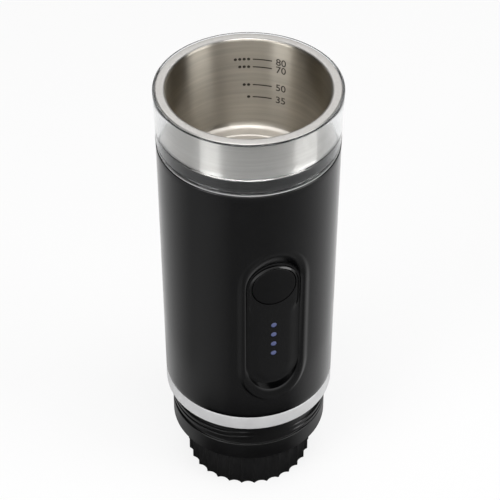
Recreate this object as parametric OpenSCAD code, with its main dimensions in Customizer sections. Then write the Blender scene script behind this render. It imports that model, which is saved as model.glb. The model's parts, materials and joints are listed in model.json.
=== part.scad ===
// Portable espresso maker: a slim upright flask with a water tank at the top,
// a heater, a pump and two cells inside, and a screw-on brew cap below.
// The control panel faces -Y, the part stands on z = 0, and sizes are in millimetres.

/* [Brew cap] */
// Height of the fluted grip, from the table to the collar
grip_h = 20.4; // [17:0.1:26]
// Number of flutes round the grip
flute_count = 30; // [20:1:40]
// Depth of one flute
flute_depth = 1.05; // [0.6:0.05:1.4]
// Width of the land left between two flutes
flute_land = 0.3; // [0.2:0.05:0.8]
// Height of the plain edge above the flutes
grip_edge_h = 1.9; // [1:0.1:4]
// Step from the collar's bore out to the grip
grip_step = 0.95; // [0.6:0.05:2]
// Width of the ring that the cap stands on
foot_w = 3.4; // [2.5:0.1:5]
// Clear height below the floor of the cap
foot_h = 5; // [3:0.1:6]
// Thickness of the cap's floor
cap_floor_t = 2.5; // [1.5:0.1:4]
// Wall of the threaded throat
throat_wall = 2.3; // [1.8:0.1:3.5]
// Height of the threaded throat above the grip
throat_h = 13; // [12:0.1:16]
// Outer radius of the spout tube
spout_r = 3; // [2:0.1:5]
// Wall of the spout tube
spout_wall = 1.1; // [0.8:0.1:1.5]
// Clear height from the table to the spout's tip
spout_rise = 1.5; // [1:0.1:2.5]
// Width of the spout's flange
spout_flange_w = 3; // [2:0.1:6]
// Thickness of the spout's flange
spout_flange_t = 1; // [0.6:0.1:2]

/* [Filter basket] */
// Inner radius of the basket
basket_r = 19; // [16:0.1:22]
// Wall of the basket
basket_wall = 0.6; // [0.4:0.1:1]
// Depth of the basket from the top of its rim
basket_h = 20.8; // [14:0.1:22]
// Width of the basket's rim
basket_rim_w = 1.9; // [1.2:0.1:2.3]
// Thickness of the basket's rim
basket_rim_t = 0.8; // [0.5:0.1:1.2]
// Radius of one hole in the basket's floor
basket_hole_r = 0.5; // [0.3:0.05:0.8]
// Distance between the rings of holes
basket_hole_step = 3.4; // [2.6:0.1:4]
// Number of rings of holes
basket_hole_rings = 4; // [2:1:5]

/* [Brew thread] */
// Rise of the brew thread in one turn
brew_pitch = 4.5; // [4:0.1:6]
// Height of the brew thread's ridge
brew_ridge_h = 0.9; // [0.6:0.05:1.4]
// Width of the ridge at its root
brew_ridge_w = 2; // [1.4:0.1:2.2]
// Width of the ridge at its crest
brew_crest_w = 1; // [0.6:0.1:1.3]
// Turns of the thread on each side
brew_turns = 1.5; // [1:0.25:1.75]
// Gap between crest and root of the two threads
thread_gap = 0.3; // [0.2:0.05:0.6]

/* [Thread collar] */
// Height of the collar below its flange
collar_h = 19; // [17:0.1:24]
// Outer wall of the collar
collar_wall = 1.8; // [1.6:0.1:3]
// Inner wall of the collar, which carries the brew thread
collar_core_wall = 1.6; // [1.2:0.1:3]
// Hollow between the collar's two walls
collar_hollow = 3.1; // [2:0.1:5]
// Thickness of the web that closes the hollow
web_t = 2; // [1.5:0.1:3]
// Height of the plain skirt that seats a cup
skirt_h = 7.9; // [6:0.1:9]
// Rise of the cup thread in one turn
cup_pitch = 2.35; // [2:0.05:3]
// Height of the cup thread's ridge
cup_ridge_h = 0.8; // [0.5:0.05:1]
// Width of the cup thread's ridge at its root
cup_ridge_w = 1.8; // [1.2:0.1:1.9]
// Width of the cup thread's ridge at its crest
cup_crest_w = 1.2; // [0.6:0.1:1.2]
// Rows of ridges in the cup thread
cup_rows = 2; // [1:1:3]
// Angle left without ridges at the front of the cup thread
cup_break = 24; // [10:1:60]
// Thickness of the flange that carries the trim band
flange_t = 1.6; // [1.2:0.1:2.4]
// Width of the flange beyond the body's bore
flange_w = 2; // [1.2:0.1:2.4]
// Wall of the sleeve inside the body
sleeve_wall = 1.4; // [1.2:0.1:2.4]
// Height of the sleeve above the flange
sleeve_h = 13; // [11:0.1:18]

/* [Brew head] */
// Width of the brew head's flange on the web
head_seat = 3.1; // [2.5:0.1:4.5]
// Thickness of the brew head's flange
head_flange_t = 2.6; // [2:0.1:3.6]
// Height of the pipe socket above the flange
socket_h = 4; // [3.5:0.1:6]
// Wall of the pipe socket
socket_wall = 2.4; // [2.2:0.1:4]
// Section radius of the pipe's seal ring
pipe_seal_r = 0.8; // [0.5:0.05:0.9]
// Depth of the water chamber over the shower plate
chamber_d = 1.6; // [1:0.1:2.4]
// Thickness of the shower plate
shower_t = 0.8; // [0.5:0.1:1]
// Gap between the shower plate and the brew gasket
shower_margin = 1.2; // [0.8:0.1:2]
// Thickness of the brew gasket
gasket_t = 2; // [1.6:0.1:3]
// Part of the gasket that stands below the brew head
gasket_proud = 1; // [0.9:0.1:1.4]
// Width of the brew gasket
gasket_w = 2.6; // [2:0.1:2.7]
// Shank radius of the small screws
small_screw_r = 1.2; // [0.8:0.1:1.5]
// Shank length of the small screws beyond the plate that they hold
screw_l = 4.4; // [3:0.1:5]
// Head radius of the small screws
small_head_r = 2.2; // [1.8:0.1:2.4]
// Head height of the small screws
small_head_h = 1.4; // [1:0.1:2]

/* [Body] */
// Wall of the body at its lower end
shell_wall = 3; // [2.6:0.1:4.5]
// Height of the silver trim band
band_h = 6.2; // [4.5:0.1:9]
// Height of the clear window ring over the body's shoulder
window_h = 22.6; // [14:0.1:30]
// Wall of the window ring at its lower end
window_wall = 1.4; // [1.2:0.1:3]
// Height of the neck inside the window ring
neck_h = 6; // [4:0.1:10]
// Wall of the neck
neck_wall = 1.3; // [1:0.1:2.4]
// Thickness of the flat seal under the window ring
seal_t = 0.6; // [0.4:0.1:1.2]
// Height of the ledge that carries the upper deck
ledge_h = 2; // [1.2:0.1:4]
// Width of the ledge
ledge_w = 1.2; // [0.8:0.1:2]
// Gap between parts that slide together once
fit_gap = 0.3; // [0.2:0.05:0.5]
// Gap between parts that are pushed tight
snug_gap = 0.05; // [0.02:0.01:0.1]

/* [Water tank] */
// Inner radius of the tank
tank_r = 28.9; // [27:0.1:32]
// Sheet thickness of the tank
tank_wall = 0.8; // [0.5:0.1:1.2]
// Depth of the tank from rim to floor
tank_depth = 38.6; // [30:0.1:60]
// Radius of the cove between wall and floor
cove_r = 2.6; // [1.5:0.1:5]
// Width of the rolled lip
lip_w = 3.7; // [3.2:0.1:5]
// Width of the window ring's bead outside the lip
bead_w = 0.6; // [0.4:0.1:1.5]
// Radius of the outlet's threaded stem
outlet_r = 4; // [3.4:0.1:5]
// Thickness of the outlet's flange
outlet_flange_t = 0.9; // [0.6:0.1:1]
// Width of the outlet's flange
outlet_flange_w = 3; // [2:0.1:6]
// Thickness of the outlet's washer
washer_t = 0.6; // [0.4:0.1:0.8]
// Thickness of the strainer
strainer_t = 0.8; // [0.5:0.1:0.8]
// Radius of one hole in the strainer
strainer_hole_r = 0.7; // [0.4:0.05:0.9]
// Radius of the ring of strainer holes
strainer_ring_r = 2; // [1.6:0.1:2.2]
// Height of the outlet nut
nut_h = 3; // [2:0.1:3.4]
// Distance across the nut's flats
nut_flats = 13; // [12:0.1:16]

/* [Heater and decks] */
// Thickness of the heater plate
heater_t = 2.4; // [1.8:0.1:4]
// Gap from the heater's edge to the tank's wall
heater_margin = 3; // [2:0.1:6]
// Thickness of the insulating pad
pad_t = 1.2; // [0.8:0.1:3]
// Thickness of the upper deck
deck_t = 3; // [2.6:0.1:5]
// Room between the upper cradle and the deck
hose_room = 5.2; // [5:0.1:10]
// Thickness of the two cell cradles
cradle_t = 7; // [6:0.1:10]
// Depth of the cradles' pockets
pocket_d = 4; // [3:0.1:4.5]
// Depth of the slots that hold the boards
slot_d = 2; // [1.5:0.1:2.5]
// Radius of the thermistor's probe
thermistor_r = 1.4; // [1:0.1:2]
// Radius of the thermal fuse
fuse_r = 2; // [1.4:0.1:2.6]
// Metal left over the thermistor and the fuse in the heater
sensor_cover = 0.8; // [0.4:0.1:1.2]
// Distance of the thermistor and the fuse from the axis
sensor_ring_r = 15; // [12:0.1:18]
// Shank radius of the tie screws
tie_r = 1.5; // [1.2:0.1:1.8]
// Head radius of the tie screws
tie_head_r = 2.7; // [2.4:0.1:3]
// Head height of the tie screws
tie_head_h = 1.6; // [1.2:0.1:1.8]
// Angle of the tie screws from the front
tie_angle = 50; // [46:1:56]
// Edge left outside the heads of the tie screws
tie_edge = 0.6; // [0.4:0.1:1.5]
// Height of the bosses that take the tie screws
boss_h = 7; // [5:0.1:9]
// Wall of those bosses
boss_wall = 1.1; // [0.9:0.1:1.6]

/* [Cells] */
// Diameter of one cell
cell_d = 18.4; // [16:0.1:20]
// Length of one cell
cell_l = 65.2; // [60:0.1:72]
// Gap between a cell and the body's bore
cell_gap = 0.8; // [0.5:0.1:2]
// Gap between a cell and the pump
pump_gap = 0.5; // [0.3:0.1:2]
// Radius of the contact plates
contact_r = 6.9; // [5:0.1:7.5]
// Thickness of the contact plates
contact_t = 0.3; // [0.2:0.05:0.6]

/* [Pump] */
// Outer radius of the pump's yoke
yoke_r = 9.5; // [8.5:0.1:11]
// Wall of the yoke
yoke_wall = 1; // [0.6:0.1:1.5]
// Inner radius of the guide tube
tube_r = 4; // [3.5:0.1:4.4]
// Wall of the guide tube
tube_wall = 1; // [0.8:0.1:1.2]
// Height of the coil
coil_h = 22; // [16:0.5:26]
// Length of the plunger
plunger_l = 18; // [14:0.5:22]
// Bore radius of the plunger
plunger_bore_r = 1.2; // [0.8:0.1:1.6]
// Running gap round the plunger
plunger_gap = 0.08; // [0.05:0.01:0.1]
// Height of the pump head below the guide tube
pump_head_h = 7; // [6:0.1:9]
// Wall between the guide tube and the valve chamber
valve_wall = 1.7; // [1.2:0.1:2]
// Height of the valve chamber
valve_room = 2.9; // [2:0.1:3.2]
// Thickness of the outlet valve
valve_t = 1; // [0.6:0.1:1.5]
// Outer radius of the pump head
pump_head_r = 7.5; // [6.8:0.1:9]
// Depth of the sockets that hold the guide tube
tube_socket_d = 3; // [2:0.1:4]
// Height of the pump's inlet cap over the guide tube
inlet_h = 3; // [2:0.1:5]
// Wire radius of the pump springs
wire_r = 0.4; // [0.3:0.05:0.5]
// Turns of the return spring
return_turns = 6; // [4:1:8]
// Turns of the buffer spring
buffer_turns = 3; // [2:1:4]
// Length of the buffer spring
buffer_l = 8; // [6:0.5:10]
// Outer radius of the pressure pipe
pipe_r = 2.5; // [2:0.1:2.8]
// Wall of the pressure pipe
pipe_wall = 1.1; // [0.8:0.1:1.2]
// Outer radius of the hose barbs
barb_r = 2.4; // [2:0.1:3]
// Wall of the hose barbs
barb_wall = 0.9; // [0.6:0.1:1]
// Wall of the inlet hose
hose_wall = 1.1; // [0.8:0.1:1.6]

/* [Control panel] */
// Height of the panel's upper end above the underside of the upper cradle
panel_rise = 1; // [-2.4:0.1:3.6]
// Length of the panel
panel_l = 57.6; // [50:0.1:62]
// Width of the panel
panel_w = 19.2; // [18:0.1:21]
// Thickness of the panel's plate
panel_t = 0.8; // [0.6:0.1:1]
// Depth of the panel's face below the body's surface
panel_recess = 1.6; // [1:0.05:1.8]
// Radius of the panel's bowed face
panel_bow_r = 80; // [50:1:160]
// Width of the valley round the plate
valley_w = 0.9; // [0.5:0.1:1.5]
// Width of the shallow step round the valley
brim_w = 2; // [1:0.1:3]
// Depth of that shallow step
brim_d = 0.8; // [0.3:0.05:0.9]
// Radius of the button
button_r = 8.1; // [7:0.1:8.6]
// Gap round the button
button_gap = 0.35; // [0.3:0.05:0.5]
// Thickness of the button's face
button_face_t = 1.6; // [1.2:0.1:2]
// Wall of the button's skirt
button_wall = 1.2; // [0.9:0.1:2]
// Travel of the button
button_travel = 0.6; // [0.4:0.05:0.8]
// Reach of the tabs that keep the button in
tab_reach = 1.2; // [0.8:0.1:1.5]
// Height of those tabs
tab_h = 6; // [4:0.1:8]
// Thickness of those tabs
tab_t = 1; // [0.8:0.1:1.2]
// Radius of one light pipe
light_r = 1.1; // [0.8:0.05:1.5]
// Distance between two light pipes
light_step = 4.67; // [4:0.01:5.2]
// Distance from the button's centre to the first light pipe
light_drop = 18.9; // [14:0.1:20]
// Gap round a light pipe
light_gap = 0.1; // [0.05:0.05:0.2]

/* [Boards] */
// Thickness of the circuit boards
board_t = 1.6; // [1:0.1:2]
// Width of the circuit boards
board_w = 26; // [20:0.5:28]
// Distance from the axis to a board's outer face
board_d = 22; // [21:0.1:22.5]
// Side of the switch housing
switch_w = 6.2; // [5:0.1:8]
// Depth of the switch housing
switch_t = 3.4; // [2.8:0.1:3.6]
// Radius of the switch stem
stem_r = 1.5; // [1:0.1:1.8]
// Thickness of one light chip
chip_t = 0.8; // [0.5:0.1:1]
// Side of one light chip
chip_w = 2; // [1.2:0.1:3]

/* [Charging port] */
// Height of the port above the body's lower end
port_rise = 24; // [20:0.1:40]
// Width of the socket
port_w = 9; // [8.4:0.1:9.6]
// Height of the socket
port_h = 3.3; // [3:0.1:3.6]
// Sheet thickness of the socket
port_wall = 0.3; // [0.2:0.05:0.5]
// Width of the socket's tongue
tongue_w = 6.4; // [5:0.1:7]
// Thickness of the socket's tongue
tongue_t = 0.7; // [0.5:0.05:1]
// Gap round the socket in the body
port_gap = 0.5; // [0.4:0.05:0.8]
// Width of the cover from its hinge to its far end
cover_w = 15; // [14:0.1:18]
// Height of the cover
cover_h = 9; // [8:0.1:10]
// Thickness of the cover
cover_t = 1.3; // [1:0.1:1.6]
// Gap round the cover
cover_gap = 0.4; // [0.3:0.05:0.6]
// Depth of the plug behind the cover
plug_d = 1.8; // [1:0.1:2.4]
// Radius of the cover's hinge barrel
barrel_r = 1.1; // [1:0.05:1.3]
// Radius of the hinge pin
pin_r = 0.5; // [0.4:0.05:0.6]
// Length of the pin held in the body at each end
pin_hold = 2; // [1.5:0.1:3]

/* [Hidden] */
$fn = 96;
bow_facets = 480;
coil_sides = 6;
curl_rings = 16;
thread_rings = 40;
run_out_share = 1 / 8;
ridge_end = 0.15;
ridge_bite = 0.25;

// Overshoot of a cutter beyond the surface that it opens
cut = 1;

// Radii of the brew parts, from the basket outwards
basket_out_r = basket_r + basket_wall;
cap_bore_r = basket_out_r + fit_gap;
throat_r = cap_bore_r + throat_wall;
crest_r = throat_r + brew_ridge_h;
collar_bore_r = crest_r + thread_gap;
grip_r = collar_bore_r + grip_step;
collar_core_r = collar_bore_r + collar_core_wall;
collar_in_r = collar_core_r + collar_hollow;
collar_r = collar_in_r + collar_wall;
head_r = collar_bore_r - fit_gap;
head_flange_r = collar_bore_r + head_seat;

// Radii of the body, from its contents outwards
cell_r = cell_d / 2;
cell_ring_r = yoke_r + pump_gap + cell_r;
core_r = max(cell_ring_r + cell_r + cell_gap, head_flange_r + sleeve_wall + 2 * fit_gap);
cradle_r = core_r - fit_gap;
sleeve_r = core_r - fit_gap;
sleeve_in_r = sleeve_r - sleeve_wall;
flange_r = core_r + flange_w;
shell_low_r = core_r + shell_wall;

// Radii of the tank and the window ring
tank_out_r = tank_r + tank_wall;
neck_bore_r = tank_out_r + fit_gap;
neck_r = neck_bore_r + neck_wall;
window_seat_r = neck_r + fit_gap;
shell_top_r = window_seat_r + window_wall;
lip_r = tank_r + lip_w;
rim_r = lip_r + fit_gap + bead_w;
deck_r = neck_bore_r - fit_gap;
heater_r = tank_r - heater_margin;

// Heights, from the table upwards
throat_z1 = grip_h + throat_h;
rim_z1 = throat_z1 + basket_rim_t;
head_z0 = rim_z1 + gasket_proud;
flange_z0 = grip_h + collar_h;
flange_z1 = flange_z0 + flange_t;
web_z0 = flange_z0 - web_t;
head_z1 = flange_z1 + head_flange_t;
socket_z1 = head_z1 + socket_h;
shell_z0 = flange_z0 + band_h;
sleeve_z1 = flange_z1 + sleeve_h;
lower_z1 = sleeve_z1 + cradle_t;
cell_z0 = lower_z1 - pocket_d + contact_t;
cell_z1 = cell_z0 + cell_l;
upper_z0 = cell_z1 + contact_t - pocket_d;
upper_z1 = upper_z0 + cradle_t;
deck_z0 = upper_z1 + hose_room;
deck_z1 = deck_z0 + deck_t;
pad_z1 = deck_z1 + pad_t;
heater_z1 = pad_z1 + heater_t;
floor_z = heater_z1 + tank_wall;
top_z = floor_z + tank_depth;
lip_z0 = top_z - tank_wall;
shell_z1 = top_z - window_h;
window_z0 = shell_z1 + seal_t;
neck_z1 = shell_z1 + neck_h;

// Sizes that the brew head shares with its gasket, shower plate and screws
gasket_in_r = basket_r;
shower_r = gasket_in_r - shower_margin;
shower_ring_r = shower_r - 2 * small_head_r;
head_ring_r = collar_bore_r + head_seat / 2;

// Tie screws
tie_ring_r = min(cradle_r, deck_r) - tie_head_r - tie_edge;
tie_angles = [tie_angle, 180 - tie_angle, 180 + tie_angle, -tie_angle];
tie_hole_r = tie_r + fit_gap;
boss_r = tie_r + snug_gap + boss_wall;

// Pump, between the two cradles
tube_out_r = tube_r + tube_wall;
tube_z0 = lower_z1 + pump_head_h;
tube_z1 = upper_z0 - fit_gap - inlet_h;
plunger_r = tube_r - plunger_gap;
plunger_z1 = tube_z1 - buffer_l;
plunger_z0 = plunger_z1 - plunger_l;
coil_z0 = (plunger_z0 + plunger_z1 - coil_h) / 2;
coil_z1 = coil_z0 + coil_h;
spring_r = plunger_r - wire_r - fit_gap;
pipe_bore_r = pipe_r - pipe_wall;
pipe_z0 = head_z1 + fit_gap;
valve_z1 = tube_z0 - valve_wall;
valve_z0 = valve_z1 - valve_room;
barb_bore_r = barb_r - barb_wall;
hose_r = barb_r + snug_gap + hose_wall;
inlet_barb_z1 = upper_z1 - fit_gap;
outlet_barb_z0 = upper_z1 + fit_gap;

// Control panel and what lies behind it
panel_z = upper_z0 + panel_rise - panel_l / 2;
panel_face_d = shell_r(panel_z) - panel_recess;
panel_back_d = panel_face_d - panel_t;
recess_d = panel_back_d - snug_gap;
bow_back = panel_bow_r - panel_face_d;
pill_r = panel_w / 2;
button_z = panel_z + panel_l / 2 - pill_r;
light_zs = [for (i = [0 : 3]) button_z - light_drop - i * light_step];
button_hole_r = button_r + button_gap;
tab_half = button_r + tab_reach;
tab_d1 = sqrt(pow(core_r, 2) - pow(tab_half, 2)) - fit_gap;
tab_d0 = tab_d1 - tab_t;
switch_d = board_d + switch_t;
stem_in = button_travel + 2 * fit_gap;
board_z0 = lower_z1 - slot_d + fit_gap;
board_z1 = upper_z0 + slot_d - fit_gap;

// Charging port
port_z = shell_z0 + port_rise;
port_r = shell_r(port_z);
cover_out_r = port_r - snug_gap;
cover_in_r = cover_out_r - cover_t;
hinge_x = cover_w / 2;
hinge_y = sqrt(pow(cover_out_r, 2) - pow(hinge_x, 2)) - barrel_r;
port_d1 = core_r - fit_gap;

// Colours as the photograph shows them, or as such pieces usually are
black = [0.07, 0.07, 0.075];
dark_grey = [0.2, 0.2, 0.21];
steel = [0.76, 0.76, 0.75];
silver = [0.72, 0.72, 0.73];
clear = [0.8, 0.83, 0.85, 0.35];
brass = [0.72, 0.58, 0.3];
copper = [0.72, 0.42, 0.24];
board_green = [0.08, 0.3, 0.18];
white = [0.9, 0.9, 0.88];
light_blue = [0.35, 0.42, 0.8];
seal_grey = [0.45, 0.45, 0.46];
cell_blue = [0.16, 0.32, 0.55];

// Radius of the drafted body at a height
function shell_r(z) = shell_low_r + (shell_top_r - shell_low_r) * (z - shell_z0) / (shell_z1 - shell_z0);

// Share of a ridge's full height at ring i of n, so that its ends run out
function run_out(i, n) = max(ridge_end, min(1, min(i, n - i) / (thread_rings * run_out_share)));

// Triangles of a swept solid with n + 1 rings of s points
function sweep_faces(n, s) = concat(
    [[for (j = [s - 1 : -1 : 0]) j]],
    [for (i = [0 : n - 1], j = [0 : s - 1])
        each [[i * s + j, i * s + (j + 1) % s, (i + 1) * s + (j + 1) % s],
              [i * s + j, (i + 1) * s + (j + 1) % s, (i + 1) * s + j]]],
    [[for (j = [0 : s - 1]) n * s + j]]);

// A ring of rectangular section
module ring(r_out, r_in, z0, z1) {
    rotate_extrude()
        translate([r_in, z0])
            square([r_out - r_in, z1 - z0]);
}

// An upright round bar
module bar(r, z0, z1) {
    translate([0, 0, z0])
        cylinder(r = r, h = z1 - z0);
}

// Children at each of the tie screws
module at_ties() {
    for (a = tie_angles)
        rotate(a)
            translate([0, -tie_ring_r, 0])
                children();
}

// Children drawn flat, then stood up to face the front at height z
module at_front(z) {
    translate([0, 0, z])
        rotate([90, 0, 0])
            children();
}

// The same, facing the back
module at_back(z) {
    rotate(180)
        at_front(z)
            children();
}

// A bar that lies across the wall, from distance d0 to d1 off the axis
module peg(r, d0, d1) {
    translate([0, 0, d0])
        cylinder(r = r, h = d1 - d0);
}

// A block of width w and height h, from distance d0 to d1 off the axis
module block(w, h, d0, d1) {
    translate([-w / 2, -h / 2, d0])
        cube([w, h, d1 - d0]);
}

// Outline with round ends, of length l along y
module pill_outline(r, l) {
    for (s = [-1, 1])
        translate([0, s * (l / 2 - r)])
            circle(r);
    square([2 * r, l - 2 * r], center = true);
}

// Round-ended slab in the front wall, bowed like the panel, from distance d0 to d1 off the axis
module wall_pill(r, l, d0, d1) {
    intersection() {
        at_front(panel_z)
            translate([0, 0, board_d])
                linear_extrude(height = d1)
                    pill_outline(r, l);
        translate([0, bow_back, 0])
            ring(bow_back + d1, bow_back + d0, panel_z - l, panel_z + l, $fn = bow_facets);
    }
}

// Outline of the port cover, square at its hinge and round at its far end
module cover_outline(grow) {
    end_r = cover_h / 2 + grow;
    translate([cover_h / 2 - cover_w / 2, 0])
        circle(end_r);
    translate([cover_h / 2 - cover_w / 2, -end_r])
        square([cover_w - cover_h / 2, 2 * end_r]);
}

// Outline of the socket's oval mouth
module port_outline(w, h) {
    rotate(90)
        pill_outline(h / 2, w);
}

// Helical ridge that rises off a wall at radius r0 to radius r1
module ridge(r0, r1, w0, w1, pitch, turns) {
    n = round(turns * thread_rings);
    root = r0 + (r0 > r1 ? 1 : -1) * ridge_bite;
    points = [for (i = [0 : n])
        let (a = i * 360 / thread_rings, z = i * pitch / thread_rings,
             crest = r0 + (r1 - r0) * run_out(i, n))
        each [for (p = [[root, -w0], [crest, -w1], [crest, w1], [root, w0]])
            [p[0] * cos(a), p[0] * sin(a), z + p[1] / 2]]];
    faces = sweep_faces(n, 4);
    polyhedron(points, r0 > r1 ? [for (f = faces) [for (k = [len(f) - 1 : -1 : 0]) f[k]]] : faces);
}

// Coil spring between two heights
module spring(r, turns, z0, z1) {
    n = turns * curl_rings;
    points = [for (i = [0 : n])
        let (a = i * 360 / curl_rings, z = z0 + wire_r + (z1 - z0 - 2 * wire_r) * i / n)
        each [for (j = [0 : coil_sides - 1])
            let (b = -j * 360 / coil_sides, q = r + wire_r * cos(b))
            [q * cos(a), q * sin(a), z + wire_r * sin(b)]]];
    polyhedron(points, [for (f = sweep_faces(n, coil_sides)) [for (k = [len(f) - 1 : -1 : 0]) f[k]]]);
}

// Screw with its head downwards at z, and its shank of length l above
module hanging_screw(z, l) {
    bar(small_head_r, z - small_head_h, z);
    bar(small_screw_r, z - small_head_h / 2, z + l);
}

// Water tank and its fittings

module water_tank() {
    hole_r = outlet_r + fit_gap;
    color(steel)
        rotate_extrude() {
            difference() {
                tank_outline(tank_out_r, heater_z1, cove_r + tank_wall);
                tank_outline(tank_r, floor_z, cove_r);
                translate([0, heater_z1 - cut])
                    square([hole_r, 2 * cut + tank_wall]);
            }
            translate([tank_r, lip_z0])
                square([lip_w, tank_wall]);
        }
}

// Half outline of a can with a rounded foot
module tank_outline(r, z0, corner) {
    translate([0, z0 + corner])
        square([r, top_z - z0 - corner]);
    translate([0, z0])
        square([r - corner, corner]);
    translate([r - corner, z0 + corner])
        intersection() {
            circle(corner);
            translate([0, -corner])
                square(corner);
        }
}

module tank_window() {
    color(clear)
        rotate_extrude()
            polygon([
                [window_seat_r, window_z0],
                [shell_top_r, window_z0],
                [rim_r, lip_z0],
                [rim_r, top_z],
                [lip_r + fit_gap, top_z],
                [lip_r + fit_gap, lip_z0],
                [neck_bore_r, lip_z0],
                [neck_bore_r, neck_z1 + fit_gap],
                [window_seat_r, neck_z1 + fit_gap]
            ]);
}

module window_seal() {
    color(seal_grey)
        ring(shell_top_r - fit_gap, neck_r + snug_gap, shell_z1, window_z0);
}

module tank_outlet() {
    flange_z = floor_z + washer_t;
    color(brass)
        rotate_extrude()
            polygon([
                [barb_bore_r, flange_z + outlet_flange_t],
                [outlet_r + outlet_flange_w, flange_z + outlet_flange_t],
                [outlet_r + outlet_flange_w, flange_z],
                [outlet_r, flange_z],
                [outlet_r, deck_z0 - nut_h],
                [barb_r, deck_z0 - nut_h],
                [barb_r, outlet_barb_z0],
                [barb_bore_r, outlet_barb_z0]
            ]);
}

module outlet_washer() {
    color(seal_grey)
        ring(outlet_r + outlet_flange_w, outlet_r + fit_gap, floor_z, floor_z + washer_t);
}

module outlet_nut() {
    color(brass)
        difference() {
            translate([0, 0, deck_z0 - nut_h])
                cylinder(d = nut_flats / cos(30), h = nut_h, $fn = 6);
            bar(outlet_r + snug_gap, deck_z0 - nut_h - cut, deck_z0 + cut);
        }
}

module tank_strainer() {
    z0 = floor_z + washer_t + outlet_flange_t;
    color(steel)
        difference() {
            bar(outlet_r + outlet_flange_w / 2, z0, z0 + strainer_t);
            for (i = [0 : 5])
                rotate(i * 60)
                    translate([strainer_ring_r, 0, 0])
                        bar(strainer_hole_r, z0 - cut, z0 + strainer_t + cut);
        }
}

// Heater and upper deck

module heater_plate() {
    color(silver)
        difference() {
            ring(heater_r, outlet_r + fit_gap, pad_z1, heater_z1);
            at_sensor(1)
                bar(thermistor_r + fit_gap, pad_z1 - cut, heater_z1 - sensor_cover);
            at_sensor(-1)
                bar(fuse_r + fit_gap, pad_z1 - cut, heater_z1 - sensor_cover);
        }
}

// Children at the thermistor on the right or the fuse on the left
module at_sensor(side) {
    translate([side * sensor_ring_r, 0, 0])
        children();
}

module heater_pad() {
    color(white)
        difference() {
            ring(heater_r, outlet_r + fit_gap, deck_z1, pad_z1);
            at_sensor(1)
                bar(thermistor_r + fit_gap, deck_z1 - cut, pad_z1 + cut);
            at_sensor(-1)
                bar(fuse_r + fit_gap, deck_z1 - cut, pad_z1 + cut);
        }
}

module thermistor() {
    color(brass)
        at_sensor(1)
            bar(thermistor_r, deck_z0, heater_z1 - sensor_cover);
}

module thermal_fuse() {
    color(white)
        at_sensor(-1)
            bar(fuse_r, deck_z0, heater_z1 - sensor_cover);
}

module upper_deck() {
    color(dark_grey)
        difference() {
            ring(deck_r, outlet_r + fit_gap, deck_z0, deck_z1);
            at_sensor(1)
                bar(thermistor_r + fit_gap, deck_z0 - cut, deck_z1 + cut);
            at_sensor(-1)
                bar(fuse_r + fit_gap, deck_z0 - cut, deck_z1 + cut);
            at_ties() {
                bar(tie_hole_r, deck_z0 - cut, deck_z1 + cut);
                bar(tie_head_r + snug_gap, deck_z1 - tie_head_h, deck_z1 + cut);
            }
        }
}

module tie_screws() {
    color(steel)
        at_ties() {
            bar(tie_head_r, deck_z1 - tie_head_h, deck_z1);
            bar(tie_r, flange_z1 + cut, deck_z1 - tie_head_h / 2);
        }
}

// Body and control panel

module body_shell() {
    brim = valley_w + brim_w;
    shoulder_d = shell_r(panel_z) - brim_d;
    ledge_r = deck_r - ledge_w;
    color(black)
        difference() {
            rotate_extrude()
                polygon([
                    [core_r, shell_z0],
                    [shell_low_r, shell_z0],
                    [shell_top_r, shell_z1],
                    [neck_r, shell_z1],
                    [neck_r, neck_z1],
                    [neck_bore_r, neck_z1],
                    [neck_bore_r, deck_z0],
                    [ledge_r, deck_z0],
                    [ledge_r, deck_z0 - ledge_h],
                    [core_r, deck_z0 - ledge_h]
                ]);
            wall_pill(pill_r + brim, panel_l + 2 * brim, shoulder_d, shell_top_r + cut);
            wall_pill(pill_r + valley_w, panel_l + 2 * valley_w, recess_d, shell_top_r + cut);
            at_front(button_z)
                peg(button_hole_r, board_d, shell_top_r);
            for (z = light_zs)
                at_front(z)
                    peg(light_r + light_gap, board_d, shell_top_r);
            port_cuts();
        }
}

// Pocket, mouth and hinge of the charging port
module port_cuts() {
    barrel_room = barrel_r + cover_gap;
    intersection() {
        at_back(port_z)
            translate([0, 0, board_d])
                linear_extrude(height = port_r)
                    cover_outline(cover_gap);
        ring(port_r + cut, cover_in_r - snug_gap, port_z - cover_h, port_z + cover_h);
    }
    at_back(port_z)
        translate([0, 0, board_d])
            linear_extrude(height = port_r)
                port_outline(port_w + 2 * port_gap, port_h + 2 * port_gap);
    at_hinge()
        bar(barrel_room, -cover_h / 2 - cover_gap, cover_h / 2 + cover_gap);
    at_hinge()
        translate([0, -barrel_room, -cover_h / 2 - cover_gap])
            cube([barrel_room, 2 * barrel_room + barrel_r, cover_h + 2 * cover_gap]);
    at_hinge()
        bar(pin_r + snug_gap, -cover_h / 2 - pin_hold, cover_h / 2 + pin_hold);
}

// Children on the cover's hinge line, at the port's height
module at_hinge() {
    translate([-hinge_x, hinge_y, port_z])
        mirror([1, 0, 0])
            children();
}

module trim_band() {
    color(silver)
        rotate_extrude()
            polygon([
                [flange_r + fit_gap, flange_z0],
                [shell_low_r, flange_z0],
                [shell_low_r, shell_z0],
                [core_r, shell_z0],
                [core_r, flange_z1],
                [flange_r + fit_gap, flange_z1]
            ]);
}

module control_panel() {
    color(black)
        difference() {
            wall_pill(pill_r, panel_l, panel_back_d, panel_face_d);
            at_front(button_z)
                peg(button_hole_r, board_d, shell_top_r);
            for (z = light_zs)
                at_front(z)
                    peg(light_r + light_gap, board_d, shell_top_r);
        }
}

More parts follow.
